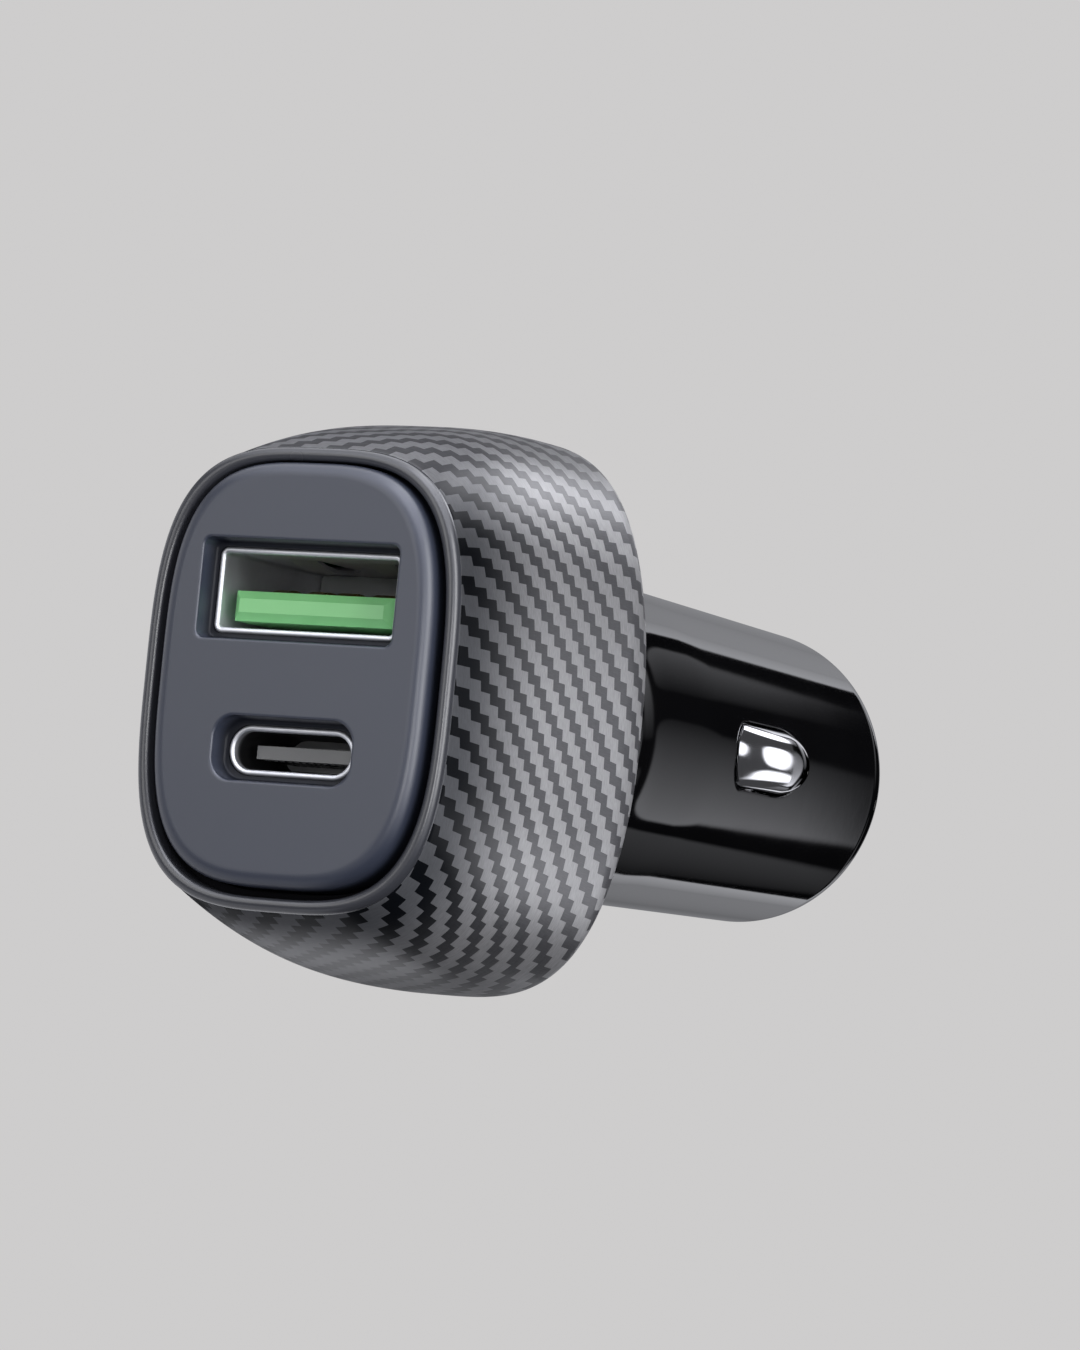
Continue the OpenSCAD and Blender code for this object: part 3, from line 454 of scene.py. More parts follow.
lightTone = strandTone(film["lightFront"], film["lightBack"], backness, fibreLight, film["lightFibre"])
darkTone = strandTone(film["darkFront"], film["darkBack"], darkness, fibreDark, film["darkFibre"])
weaveTone = blendColour(tree, shadeShare, blendColour(tree, lightMask, darkTone, lightTone), film["shaded"])
put(tree, shader.inputs["Base Color"], blendColour(tree, outside, film["bare"], weaveTone))
put(tree, shader.inputs["Roughness"], mapRange(tree, fibreLight, *film["fibreRange"], *film["roughness"]))
raised = maths(tree, "ADD", pillow, maths(tree, "MULTIPLY", lightMask, film["step"]))
put(tree, shader.inputs["Normal"], bump(tree, raised, film["relief"], relief["film"]))
put(tree, shader.inputs["Specular IOR Level"],
    maths(tree, "MULTIPLY", outside, mapRange(tree, backness, 0, 1, *film["specular"])))
put(tree, shader.inputs["Coat Weight"],
    maths(tree, "MULTIPLY", outside, mapRange(tree, backness, 0, 1, *film["coat"])))
shader.inputs["Coat Roughness"].default_value = film["coatRoughness"]
print("finishes ready:", len(finishes))

# The CAD nodes that keep their shape get the finish of their slot
slotOf = {part["node"]: part["material_slot"] for part in frame["record"]["subparts"]}
for nodeName, node in frame["nodes"].items():
    if not node.material_slots:
        node.data.materials.append(finishes[slotOf[nodeName]])
    for materialSlot in node.material_slots:
        materialSlot.material = finishes[slotOf[nodeName]]


# Head shell, in mm and with levels that grow towards the face, as everywhere below up to the studio
head = {"faceWidth": 21.5, "faceHeight": 28.1, "backWidth": 22.7, "backHeight": 35.1, "rim": 24.4,
        "domeDepth": 3.9, "cornerPower": 3.3, "risePower": 2.35, "columnPower": 0.8, "columns": 384,
        "seatRadius": 10.63, "seatLevel": 0.8, "spigotRadius": 9.65, "innerLevel": 2.2, "wall": 1.25,
        "domeWidth": 20.48, "domeHeight": 8.2, "lip": 23.25, "lipRound": 0.12, "shelf": 21.6, "hook": 20.9,
        "tubeHalf": (9.5, 13.0), "step": 0.35, "lift": 0.2, "skirt": 0.5, "middle": 12.0,
        "lipRows": 6, "sideRows": 90, "domeRows": 40, "hollowRows": 8, "hollowBack": (9.98, 13.65),
        "hollowSlope": (1.8, 1.1), "hollowStart": 1.2}

turn = np.linspace(0, 2 * np.pi, head["columns"], endpoint=False)
polar = np.arctan2(head["faceHeight"] * np.sign(np.sin(turn)) * np.abs(np.sin(turn)) ** head["columnPower"],
                   head["faceWidth"] * np.sign(np.cos(turn)) * np.abs(np.cos(turn)) ** head["columnPower"])


def ovalReach(halfWidth, halfHeight, angle):
    # Radius of a superellipse: the p-th powers of x over width and y over height add up to one
    p = head["cornerPower"]
    return (np.abs(np.cos(angle) / halfWidth) ** p + np.abs(np.sin(angle) / halfHeight) ** p) ** (-1 / p)


def ringAt(radius, level):
    return aroundAxis(radius, level, polar)


def halfSizes(level):
    # Sides widen in a straight line towards the back, top and bottom in a curve that flattens out
    s = (head["rim"] - level) / (head["rim"] - head["domeDepth"])
    halfWidth = (head["faceWidth"] + (head["backWidth"] - head["faceWidth"]) * s) / 2
    rise = 1 - np.abs(1 - s) ** head["risePower"]
    return halfWidth, (head["faceHeight"] + (head["backHeight"] - head["faceHeight"]) * rise) / 2


def ovalRings(inset, level):
    halfWidth, halfHeight = halfSizes(column(level))
    inset = column(inset)
    return ringAt(ovalReach(halfWidth - inset, halfHeight - inset, polar), column(level))


def plainOvals(halfWidth, halfHeight, level, lift=0.0):
    reach = ovalReach(column(halfWidth), column(halfHeight), polar)
    return ringAt(reach, column(level)) + np.array([0, 0, lift])


def domeRings(count):
    # Quarter-ellipse back: the outline shrinks with k while its depth follows the root of 1 - k squared
    def reachAt(k):
        return ovalReach((head["domeWidth"] + (head["backWidth"] - head["domeWidth"]) * k) / 2,
                         (head["domeHeight"] + (head["backHeight"] - head["domeHeight"]) * k) / 2, polar)
    low, high = np.zeros(len(polar)), np.ones(len(polar))
    for halving in range(30):
        middle = (low + high) / 2
        tooFar = reachAt(middle) > head["seatRadius"]
        low, high = np.where(tooFar, low, middle), np.where(tooFar, middle, high)
    depth = np.sqrt(1 - low ** 2) * np.sin(np.linspace(0, np.pi / 2, count + 1))[1:, None]
    return ringAt(reachAt(np.sqrt(1 - depth ** 2)), head["domeDepth"] * (1 - depth))


# Weave map. Each line is one term round the head: the constant, then the sine and one minus the cosine of
# one to four turns. Its four numbers are a cubic in the way back from the rim, in cm from 10 mm behind it
weave = {
    "across": (8, [
        [13.917, 13.159, 1.577, -1.480],
        [1.210, 0.544, -0.478, -0.312],
        [1.621, 1.085, -1.329, -0.548],
        [-0.035, -0.293, 0.317, 0.118],
        [0.883, 0.458, -0.587, -0.249],
        [-0.154, -0.201, 0.157, 0.078],
        [0.160, 0.024, -0.047, -0.026],
        [0.048, 0.064, -0.116, -0.063],
        [-0.220, -0.049, 0.113, 0.024]]),
    "along": (136, [
        [0.208, 0.862, 0.284, 0.016],
        [-0.605, -0.268, -0.193, -0.571],
        [-0.544, 0.393, -0.501, -0.629],
        [1.620, -0.319, 0.126, 0.091],
        [0.826, 0.128, -0.208, -0.248],
        [0.064, -0.175, 0.088, 0.091],
        [0.103, -0.037, 0.004, -0.001],
        [-0.324, 0.010, -0.023, -0.044],
        [-0.310, -0.001, 0.039, 0.025]])}
weaveEnd = 19.5  # mm back from the rim, where the sides end


def strandCount(part, back, share):
    # The strands that close the round, plus the terms; past the sides' end each cubic goes on straight
    strands, terms = weave[part]
    way = (np.minimum(back, weaveEnd) - 10) / 10
    beyond = np.maximum(back - weaveEnd, 0) / 10
    count = strands * share
    for number, term in enumerate(terms):
        turns = 2 * np.pi * share * ((number + 1) // 2)
        wave = 1 if number == 0 else np.sin(turns) if number % 2 else 1 - np.cos(turns)
        cubic = sum(c * way ** k for k, c in enumerate(term))
        slope = sum(k * c * way ** (k - 1) for k, c in enumerate(term) if k)
        count = count + wave * (cubic + slope * beyond)
    return count


def strandMap(back):
    # Strand counts for rings that lie this many mm back from the rim, by the way round the middle section
    width, height = halfSizes(np.array([head["middle"]]))
    section = ringAt(ovalReach(width, height, polar), head["middle"])[:, [0, 2]]
    section = np.concatenate([section, section[:1]])
    way = np.concatenate([[0], np.cumsum(np.hypot(*np.diff(section, axis=0).T))])
    back = np.concatenate([back, back[:, :1]], 1)
    return np.stack([strandCount(part, back, way / way[-1]) for part in ("across", "along")], -1)


# Outside: the lip's small rounding, the tapered sides and the rounded back
edgeTurn = np.linspace(0, np.pi / 2, head["lipRows"])
lipBack = head["lipRound"] * (1 - np.cos(edgeTurn))
sideLevels = np.linspace(head["rim"] - head["lipRound"], head["domeDepth"], head["sideRows"])[1:]
lipRings = ovalRings(head["lipRound"] * (1 - np.sin(edgeTurn)), head["rim"] - lipBack)
outerGrid = np.concatenate([lipRings, ovalRings(np.zeros(len(sideLevels)), sideLevels),
                            domeRings(head["domeRows"])])
sideBack = np.concatenate([lipBack, head["rim"] - sideLevels])
sideBack = np.broadcast_to(sideBack[:, None], (len(sideBack), head["columns"]))
domeSteps = np.linalg.norm(np.diff(outerGrid[len(sideBack) - 1:], axis=0), axis=2)
outerBack = np.concatenate([sideBack, sideBack[-1] + np.cumsum(domeSteps, axis=0)])

# Inside: the barrel's seat, the hollow, and the stepped tube round the panel
seatRings = [ringAt(np.full((1, head["columns"]), radius), level) for radius, level in
             ((head["seatRadius"], head["seatLevel"]), (head["spigotRadius"], head["seatLevel"]),
              (head["spigotRadius"], head["innerLevel"]))]
hollowWidth, hollowHeight = head["hollowBack"]
hollowRise, hollowStep = head["hollowSlope"]
hollowLevels = np.linspace(head["domeDepth"] + head["hollowStart"], head["hook"], head["hollowRows"])
hollowRings = [plainOvals([hollowWidth, hollowWidth], [hollowHeight, hollowHeight + hollowRise],
                          [head["innerLevel"], head["innerLevel"] + hollowStep]),
               ovalRings(np.full(head["hollowRows"], head["wall"]), hollowLevels)]
mouthIn = np.array([head["step"], head["step"], 0, 0])
mouthRings = [plainOvals(head["tubeHalf"][0] - mouthIn, head["tubeHalf"][1] - mouthIn,
                         [head["hook"], head["shelf"], head["shelf"], head["lip"]], head["lift"]),
              ovalRings([head["skirt"], head["skirt"]], [head["lip"], head["rim"]])]
innerGrid = np.concatenate([outerGrid[-1:]] + seatRings + hollowRings + mouthRings + [outerGrid[:1]])
innerMap = np.full((len(innerGrid), head["columns"] + 1, 2), film["bareMark"])

buildPiece("headShell", [gridPatch(outerGrid, wrap=True, uv=strandMap(outerBack)),
                         gridPatch(innerGrid, wrap=True, uv=innerMap)],
           "plug", "carbon_film", ["head_shell"], crease=50)


# Bezel ring: quarter ellipses from its outer edge up to the crest, at a share of the width, and down inwards
bezel = {"width": 0.85, "rise": 0.55, "crest": 0.55, "seat": 24.42, "skirt": 0.55, "lip": 23.27,
         "rows": (12, 10)}
crestTurn = np.radians(np.linspace(0, 90, bezel["rows"][0]))
innerTurn = np.radians(np.linspace(90, 0, bezel["rows"][1]))
rest = 1 - bezel["crest"]
bezelInset = np.concatenate([bezel["width"] * bezel["crest"] * (1 - np.cos(crestTurn)),
                             bezel["width"] * (1 - rest * (1 - np.cos(innerTurn)))[1:]])
bezelLevel = bezel["seat"] + bezel["rise"] * np.concatenate(
    [np.sin(crestTurn), (rest + bezel["crest"] * np.sin(innerTurn))[1:]])
bezelInset = np.concatenate([bezelInset, [bezel["width"], bezel["skirt"], bezel["skirt"], 0]])
bezelLevel = np.concatenate([bezelLevel, [bezel["lip"], bezel["lip"], bezel["seat"], bezel["seat"]]])
bezelGrid = plainOvals(head["faceWidth"] / 2 - bezelInset, head["faceHeight"] / 2 - bezelInset, bezelLevel)
# Its first value is the depth below the crest, which sets the ring's painted shade
bezelMap = depthMap(bezelLevel, bezel["seat"] + bezel["rise"], head["columns"])
buildPiece("bezelRing", [gridPatch(bezelGrid, wrap=True, uv=bezelMap)], "plug", "satin_ring", ["bezel_ring"])


# Face panel: an oval plate in two halves, one round each port, that meet at the split line. A recess lies
# recessRim outside its port at the top and narrows by slope to its floor; its corners grow on the way up
panel = {"halfWidth": 9.35, "halfHeight": 12.85, "lift": 0.2, "top": 25.7, "round": 0.9, "back": 23.7,
         "shelf": 21.65, "wall": 1.2, "recessFloor": 24.3, "recessRim": 0.45, "slope": 0.225, "edge": 0.16,
         "cornerGrowth": (0.05, 0.15, 0.2), "foot": (0.12, 0.1), "portGap": 0.05, "edgeShade": 0.35,
         "split": 0.4, "splitClear": 0.02, "splitSamples": 260, "outlineSamples": 900,
         "flatSteps": (0.02, 0.35, 0.7, 1.0), "edgeRows": 7, "roundRows": 10, "cornerSpare": 0.001}
ports = {
    "usbA": {"halfWidth": 6.37, "halfHeight": 2.595, "corner": 0.52, "recessCorner": 0.42, "centre": 5.2},
    "usbC": {"halfWidth": 4.395, "halfHeight": 1.5, "corner": 1.499, "recessCorner": 1.3, "centre": -4.4}}


def crestLine(count):
    # The flat top's outline, where the rounded edge begins
    angle = np.linspace(0, 2 * np.pi, count, endpoint=False)
    reach = ovalReach(panel["halfWidth"] - panel["round"], panel["halfHeight"] - panel["round"], angle)
    return fillOutline(reach * np.cos(angle), reach * np.sin(angle) + panel["lift"], count)


def outlineHalves(line):
    # The outline cut at the split line, each half from its own end point: the upper one starts at the right
    endX = cutX(line)
    halves = []
    for side in (1, -1):
        kept = line[(line[:, 1] - panel["split"]) * side > panel["splitClear"]]
        direction = np.arctan2(kept[:, 1] - panel["split"], kept[:, 0])
        halves.append(np.concatenate([[[endX * side, panel["split"]]], kept[np.argsort(direction)]]))
    return halves


def cutX(line):
    # Half width of the outline at the split line
    right = line[line[:, 0] > 0]
    order = np.argsort(right[:, 1])
    return float(np.interp(panel["split"], right[order, 1], right[order, 0]))


def drawnIn(points, inset):
    # The panel's oval less the inset, in the directions of these points from its middle
    angle = np.arctan2(points[:, 1] - panel["lift"], points[:, 0])
    reach = ovalReach(panel["halfWidth"] - inset, panel["halfHeight"] - inset, angle)
    return np.stack([reach * np.cos(angle), reach * np.sin(angle) + panel["lift"]], -1)


def portHalf(port, half, otherEnd):
    # Rows run from the outline's half and the split line over the flat face into the recess, and through
    # the plate to its back
    outer = np.concatenate([half, np.linspace(otherEnd, half[0], panel["splitSamples"])[:-1]])
    pocketEnds = drawnIn(np.stack([otherEnd, half[0]]), panel["wall"])
    pocket = np.concatenate([drawnIn(half, panel["wall"]),
                             np.linspace(*pocketEnds, panel["splitSamples"])[:-1]])
    centre = np.array([0.0, port["centre"]])
    angles = np.arctan2(outer[:, 1] - centre[1], outer[:, 0] - centre[0])

    def ring(extra, corner, level):
        shape = roundedOutline(port["halfWidth"] + extra, port["halfHeight"] + extra,
                               min(corner, port["halfHeight"] + extra - panel["cornerSpare"])) + centre
        points = outlineTowards(shape, centre, angles)
        return row(points[:, 0], points[:, 1], level)

    rim, corner, edge = panel["recessRim"], port["recessCorner"], panel["edge"]
    floorGrowth, edgeGrowth, topGrowth = panel["cornerGrowth"]
    footOut, footUp = panel["foot"]
    rows, levels = [row(outer[:, 0], outer[:, 1], panel["top"])], [panel["top"]]
    start = ring(rim + edge + panel["portGap"], corner + topGrowth, panel["top"])
    for t in panel["flatSteps"]:
        rows.append(rows[0] + (start - rows[0]) * t)
        levels.append(panel["top"])
    steps = [(rim + edge * (1 - np.sin(u)), corner + edgeGrowth, panel["top"] - edge * (1 - np.cos(u)))
             for u in np.linspace(0, np.pi / 2, panel["edgeRows"])]
    steps += [(rim - panel["slope"] + footOut, corner + floorGrowth, panel["recessFloor"] + footUp),
              (rim - panel["slope"], corner, panel["recessFloor"]),
              (panel["portGap"], port["corner"], panel["recessFloor"]),
              (panel["portGap"], port["corner"], panel["back"])]
    for extra, radius, level in steps:
        rows.append(ring(extra, radius, level))
        levels.append(level)
    rows.append(row(pocket[:, 0], pocket[:, 1], panel["back"]))
    levels.append(panel["back"])
    # The surface map's first value is the depth below the top, which sets the panel's painted shade in the
    # recess
    return gridPatch(np.stack(rows), wrap=True, uv=depthMap(levels, panel["top"], len(outer)))


def edgeBand(outline):
    # From the flat top's outline over the rounded edge, down the side, and in to the pocket's floor
    turns = np.linspace(np.pi / 2, 0, panel["roundRows"])
    inset = np.concatenate([panel["round"] * (1 - np.cos(turns)), [0, panel["wall"], panel["wall"]]])
    level = np.concatenate([panel["top"] - panel["round"] * (1 - np.sin(turns)),
                            [panel["shelf"], panel["shelf"], panel["back"]]])
    rings = np.stack([drawnIn(outline, step) for step in inset])
    rings[0] = outline
    # The surface map starts edgeShade below the top, so the painted shade begins part way down the rounded
    # edge
    return gridPatch(row(rings[..., 0], rings[..., 1], level[:, None]), wrap=True,
                     uv=depthMap(level, panel["top"] - panel["edgeShade"], len(outline)))


upperHalf, lowerHalf = outlineHalves(crestLine(panel["outlineSamples"]))
buildPiece("facePanel", [edgeBand(np.concatenate([upperHalf, lowerHalf])),
                         portHalf(ports["usbA"], upperHalf, lowerHalf[0]),
                         portHalf(ports["usbC"], lowerHalf, upperHalf[0])],
           "plug", "satin_panel", ["face_panel"], crease=60)


# Socket lips: the rolled front edge of each socket shell, round the middle of the sheet and a little inwards
lip = {"sheet": 0.22, "inwards": 0.045, "front": 24.40, "back": 23.9, "thick": 0.36, "leastRadius": 0.02,
       "samples": 16, "rows": 13}


def offsetOutline(port, extra):
    # The shell's outline moved out by extra: four corner arcs with straight sides between them
    radius = max(port["corner"] + extra, lip["leastRadius"])
    arc = np.linspace(0, np.pi / 2, lip["samples"])
    angle = np.concatenate([arc + quarter * np.pi / 2 for quarter in range(4)])
    signX = np.repeat([1, -1, -1, 1], lip["samples"])
    signY = np.repeat([1, 1, -1, -1], lip["samples"])
    x = signX * (port["halfWidth"] - port["corner"]) + radius * np.cos(angle)
    y = port["centre"] + signY * (port["halfHeight"] - port["corner"]) + radius * np.sin(angle)
    return np.stack([x, y], -1)


for portName, port in ports.items():
    # Half circle over the sheet's thickness, closed along the back
    bend = np.linspace(0, np.pi, lip["rows"])
    half = lip["thick"] / 2
    extra = np.concatenate([[half], half * np.cos(bend), [-half, half]]) - lip["sheet"] / 2 - lip["inwards"]
    level = np.concatenate([[lip["back"]], lip["front"] - half + half * np.sin(bend), [lip["back"]] * 2])
    loops = np.stack([row(*offsetOutline(port, e).T, z) for e, z in zip(extra, level)])
    buildPiece(portName + "Lip", [gridPatch(loops, wrap=True)], "plug", "nickel", crease=50)


# Side contacts
contact = {"from": 13.9, "length": 10.0, "width": 4.1, "foot": 8.1, "shoulder": 9.9, "near": 10.40,
           "peak": 11.24, "corner": 1.6, "farRound": 3.8, "peakAt": 22.8, "rampPower": 2.6,
           "acrossRound": 12.0, "roll": 4.5, "rings": 41, "ringPower": 1.8, "arcSamples": (14, 60),
           "strip": (7.75, 8.15), "stripWidth": 4.4, "stripEnds": (-26.0, -2.4)}


def dOutline(extra=0.0, count=160):
    # Flat end with round corners towards the head, half ellipse towards the nose, moved out by extra
    half = contact["width"] / 2 + extra
    corner, farRound = contact["corner"] + extra, contact["farRound"] + extra
    near, far = extra - contact["from"], -contact["from"] - contact["length"] - extra
    cornerSamples, farSamples = contact["arcSamples"]
    a, b = np.linspace(0, np.pi / 2, cornerSamples), np.linspace(0, np.pi, farSamples)
    side = np.concatenate([half - corner + corner * np.cos(a), -half + corner - corner * np.sin(a),
                           -half * np.cos(b)])
    level = np.concatenate([near - corner + corner * np.sin(a), near - corner + corner * np.cos(a),
                            far + farRound * (1 - np.sin(b))])
    return fillOutline(side, level, count)


def domeGrid(mirrored):
    # Crown: a ramp that flattens towards its peak, less the square of the way across. It rolls off to the
    # long sides and the far end as the root of one minus a power of the way out
    outline = dOutline()
    centre = np.array([0.0, -contact["from"] - contact["length"] / 2])
    out = np.concatenate([[0.0, 1.0], 1 - np.linspace(0, 1, contact["rings"]) ** contact["ringPower"]])
    rings = centre + (outline - centre) * out[:, None, None]
    side, down = rings[..., 0], -rings[..., 1]
    left = np.clip((contact["peakAt"] - down) / (contact["peakAt"] - contact["from"]), 0, 1)
    crown = contact["peak"] - (contact["peak"] - contact["near"]) * left ** contact["rampPower"]
    crown = crown - side ** 2 / (2 * contact["acrossRound"])
    beyond = np.maximum(down - (contact["from"] + contact["length"] - contact["farRound"]), 0)
    way = np.hypot(side / (contact["width"] / 2), beyond / contact["farRound"])
    fall = np.sqrt(np.maximum(1 - way ** contact["roll"], 0))
    height = contact["shoulder"] + (crown - contact["shoulder"]) * fall
    height[:2] = contact["foot"]
    return gridPatch(row(height * (-1 if mirrored else 1), rings[..., 0], rings[..., 1]), wrap=True)


def stripGrid(mirrored):
    # Flat strip inside the barrel, from end to end, closed at both ends
    low, high = contact["strip"]
    half = contact["stripWidth"] / 2
    loop = np.array([[low, -half], [high, -half], [high, half], [low, half]])
    end, start = contact["stripEnds"]
    middle = loop.mean(0)
    shape = middle + (loop - middle) * np.array([0.0, 1.0, 1.0, 0.0])[:, None, None]
    levels = np.array([end, end, start, start])[:, None]
    return gridPatch(row(shape[..., 0] * (-1 if mirrored else 1), shape[..., 1], levels), wrap=True)


for sideName, mirrored in (("right", False), ("left", True)):
    buildPiece("sideContact" + sideName.capitalize(), [domeGrid(mirrored), stripGrid(mirrored)],
               sideName + "_contact", "chrome_contact", ["side_contact_" + sideName], crease=55)


# Barrel
barrel = {"land": 10.4, "collar": 10.58, "seat": 0.8, "flare": (-5.0, -0.2), "landEnd": -8.5, "ease": 3.0,
          "noseRadius": 9.9, "noseRound": 3.9, "length": 39.0, "bore": 8.6, "spigot": 9.6, "spigotTop": 5.2,
          "noseWall": 2.6, "hole": 3.45, "edge": 0.12, "windowColumns": 15, "windowLevels": (-13.0, -24.8),
          "windowGap": 0.15, "windowSamples": 2000, "windowRings": (10, 6, 6), "columns": 256,
          "rings": (90, 25, 30, 48)}


def barrelRadius(level):
    # Straight land with a flare that grows with the cube of the way, then a taper that sets in gently
    level = np.asarray(level, float)
    first, last = barrel["flare"]
    rise = np.clip((level - first) / (last - first), 0, 1) ** 3
    taperLength = barrel["length"] - barrel["noseRound"] + barrel["landEnd"]
    slope = (barrel["land"] - barrel["noseRadius"]) / taperLength
    down, ease = np.maximum(barrel["landEnd"] - level, 0), barrel["ease"]
    fall = slope * np.where(down < ease, down ** 2 / (2 * ease), down - ease / 2)
    return barrel["land"] + (barrel["collar"] - barrel["land"]) * rise - fall


def barrelWall(levels, radii):
    # Rings round the axis, without the two window fields
    number = np.arange(barrel["columns"])
    points = aroundAxis(column(radii), column(levels), number * 2 * np.pi / barrel["columns"])
    width = barrel["windowColumns"]
    inField = np.zeros(barrel["columns"], bool)
    for start in (0, barrel["columns"] // 2):
        inField |= (number - start + width) % barrel["columns"] < 2 * width
    high, low = barrel["windowLevels"]
    inLevels = (column(levels) <= high + 1e-6) & (column(levels) > low + 1e-6)
    return gridPatch(points, wrap=True, keep=~(inLevels & inField))


def windowField(sideLevels, mirrored):
    # From the field's border in the outer wall to the D-shaped edge, through the wall and out on the bore
    width, step = barrel["windowColumns"], 2 * np.pi / barrel["columns"]
    high, low = barrel["windowLevels"]
    along = np.arange(-width, width + 1) * step
    down = np.asarray(sideLevels, float)
    angle = np.concatenate([along[:-1], np.full(len(down) - 1, along[-1]), along[::-1][:-1],
                            np.full(len(down) - 1, along[0])])
    level = np.concatenate([np.full(len(along) - 1, high), down[:-1], np.full(len(along) - 1, low),
                            down[::-1][:-1]])
    centre = np.array([0.0, (high + low) / 2])
    start = np.stack([barrelRadius(level) * np.sin(angle), level], -1)
    ways = np.arctan2(start[:, 1] - centre[1], start[:, 0])
    outlines = [dOutline(barrel["windowGap"] + extra, barrel["windowSamples"])
                for extra in (0, barrel["edge"])]
    edge, wide = [outlineTowards(outline, centre, ways) for outline in outlines]
    inner = np.stack([barrel["bore"] * np.sin(angle), level], -1)

    def onWall(flat, drop=0.0):
        radius = barrelRadius(flat[:, 1])
        return row(np.sqrt(radius ** 2 - flat[:, 0] ** 2) - drop, flat[:, 0], flat[:, 1])

    def onBore(flat):
        return row(np.sqrt(barrel["bore"] ** 2 - flat[:, 0] ** 2), flat[:, 0], flat[:, 1])

    wallRings, edgeRings, boreRings = barrel["windowRings"]
    rows = [onWall(start + (wide - start) * t) for t in np.linspace(0, 1, wallRings)]
    for bend in np.linspace(0, np.pi / 2, edgeRings)[1:]:
        rows.append(onWall(wide + (edge - wide) * np.sin(bend), barrel["edge"] * (1 - np.cos(bend))))
    rows += [onBore(edge + (inner - edge) * t) for t in np.linspace(0, 1, boreRings)]
    return gridPatch(np.stack(rows) * np.array([-1 if mirrored else 1, 1, 1]), wrap=True)


windowHigh, windowLow = barrel["windowLevels"]
sideRings, fieldRings, taperRings, noseRings = barrel["rings"]
fieldLevels = np.linspace(windowHigh, windowLow, fieldRings)
noseStart = barrel["noseRound"] - barrel["length"]
outerLevels = np.concatenate([np.linspace(barrel["seat"], windowHigh, sideRings)[:-1], fieldLevels,
                              np.linspace(windowLow, noseStart, taperRings)[1:]])
noseTurn = np.linspace(0, np.pi / 2, noseRings)[1:]
noseLevels = noseStart - barrel["noseRound"] * np.sin(noseTurn)
noseRadii = barrelRadius(noseStart) - barrel["noseRound"] * (1 - np.cos(noseTurn))
innerFloor = barrel["noseWall"] - barrel["length"]
boreLevels = np.concatenate([[innerFloor], fieldLevels[::-1], [barrel["spigotTop"]]])
wallLevels = np.concatenate([outerLevels, noseLevels, [-barrel["length"], innerFloor], boreLevels,
                             [barrel["spigotTop"], barrel["seat"], barrel["seat"]]])
wallRadii = np.concatenate([barrelRadius(outerLevels), noseRadii, [barrel["hole"]] * 2,
                            np.full(len(boreLevels), barrel["bore"]), [barrel["spigot"]] * 2,
                            [barrel["collar"]]])
boreFrom = len(outerLevels) + len(noseLevels) + 2
boreStop = boreFrom + len(boreLevels)
wallSlices = (slice(0, boreFrom + 1), slice(boreStop - 1, boreFrom - 1, -1), slice(boreStop - 1, None))
wallParts = [barrelWall(wallLevels[part], wallRadii[part]) for part in wallSlices]
windowParts = [windowField(fieldLevels, mirrored) for mirrored in (False, True)]
buildPiece("barrelTube", wallParts + windowParts, "plug", "gloss_black", ["barrel"], crease=40)


# Nose spring: the end turns lie one wire on the next. The real spring flattens as the nose contact goes in;
# this one keeps one length
coil = {"radius": 2.6, "wire": 0.25, "turns": 6, "steps": 60, "sides": 12, "endRise": 0.53, "travel": 0.003}
coilLow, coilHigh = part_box("centre_spring")
coilSpan = (coilHigh.y - coilLow.y) / mm - 2 * coil["wire"]
coilTurn = np.linspace(0, coil["turns"], coil["turns"] * coil["steps"] + 1)[:, None]
coilRise = np.interp(coilTurn, [0, 1, coil["turns"] - 1, coil["turns"]],
                     [0, coil["endRise"], coilSpan - coil["endRise"], coilSpan])
wireTurn = np.linspace(0, 2 * np.pi, coil["sides"], endpoint=False)
wireGrid = aroundAxis(coil["radius"] + coil["wire"] * np.cos(wireTurn),
                      coilRise + coil["wire"] * (1 + np.sin(wireTurn)) - coilHigh.y / mm - rootStart,
                      2 * np.pi * coilTurn)
startCap, endCap = [np.repeat(wireGrid[[k]].mean(1, keepdims=True), coil["sides"], axis=1) for k in (0, -1)]
coilSpring = buildPiece("coilSpring", [gridPatch(np.concatenate([startCap, wireGrid, endCap]), wrap=True)],
                        "plug", "spring_steel", ["centre_spring"])
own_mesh(coilSpring)


# Studio

# Floor: a pale disc below the object that fades out, so that it has no edge, and can't be seen from below
floorLook = {"level": -0.11, "radius": 0.5, "colour": (0.62, 0.61, 0.61, 1), "second": (0.63, 0.62, 0.62, 1),
             "clouds": 30.0, "roughness": 0.9, "fade": (0.16, 0.475), "rings": 24, "spokes": 96}


def studioMesh(name, grid, finishName):
    points, faces = gridPatch(grid, wrap=True)[:2]
    mesh = bpy.data.meshes.new(name)
    mesh.from_pydata(points.tolist(), [], faces.tolist())
    mesh.materials.append(finishes[finishName])
    return addObject(name, mesh)


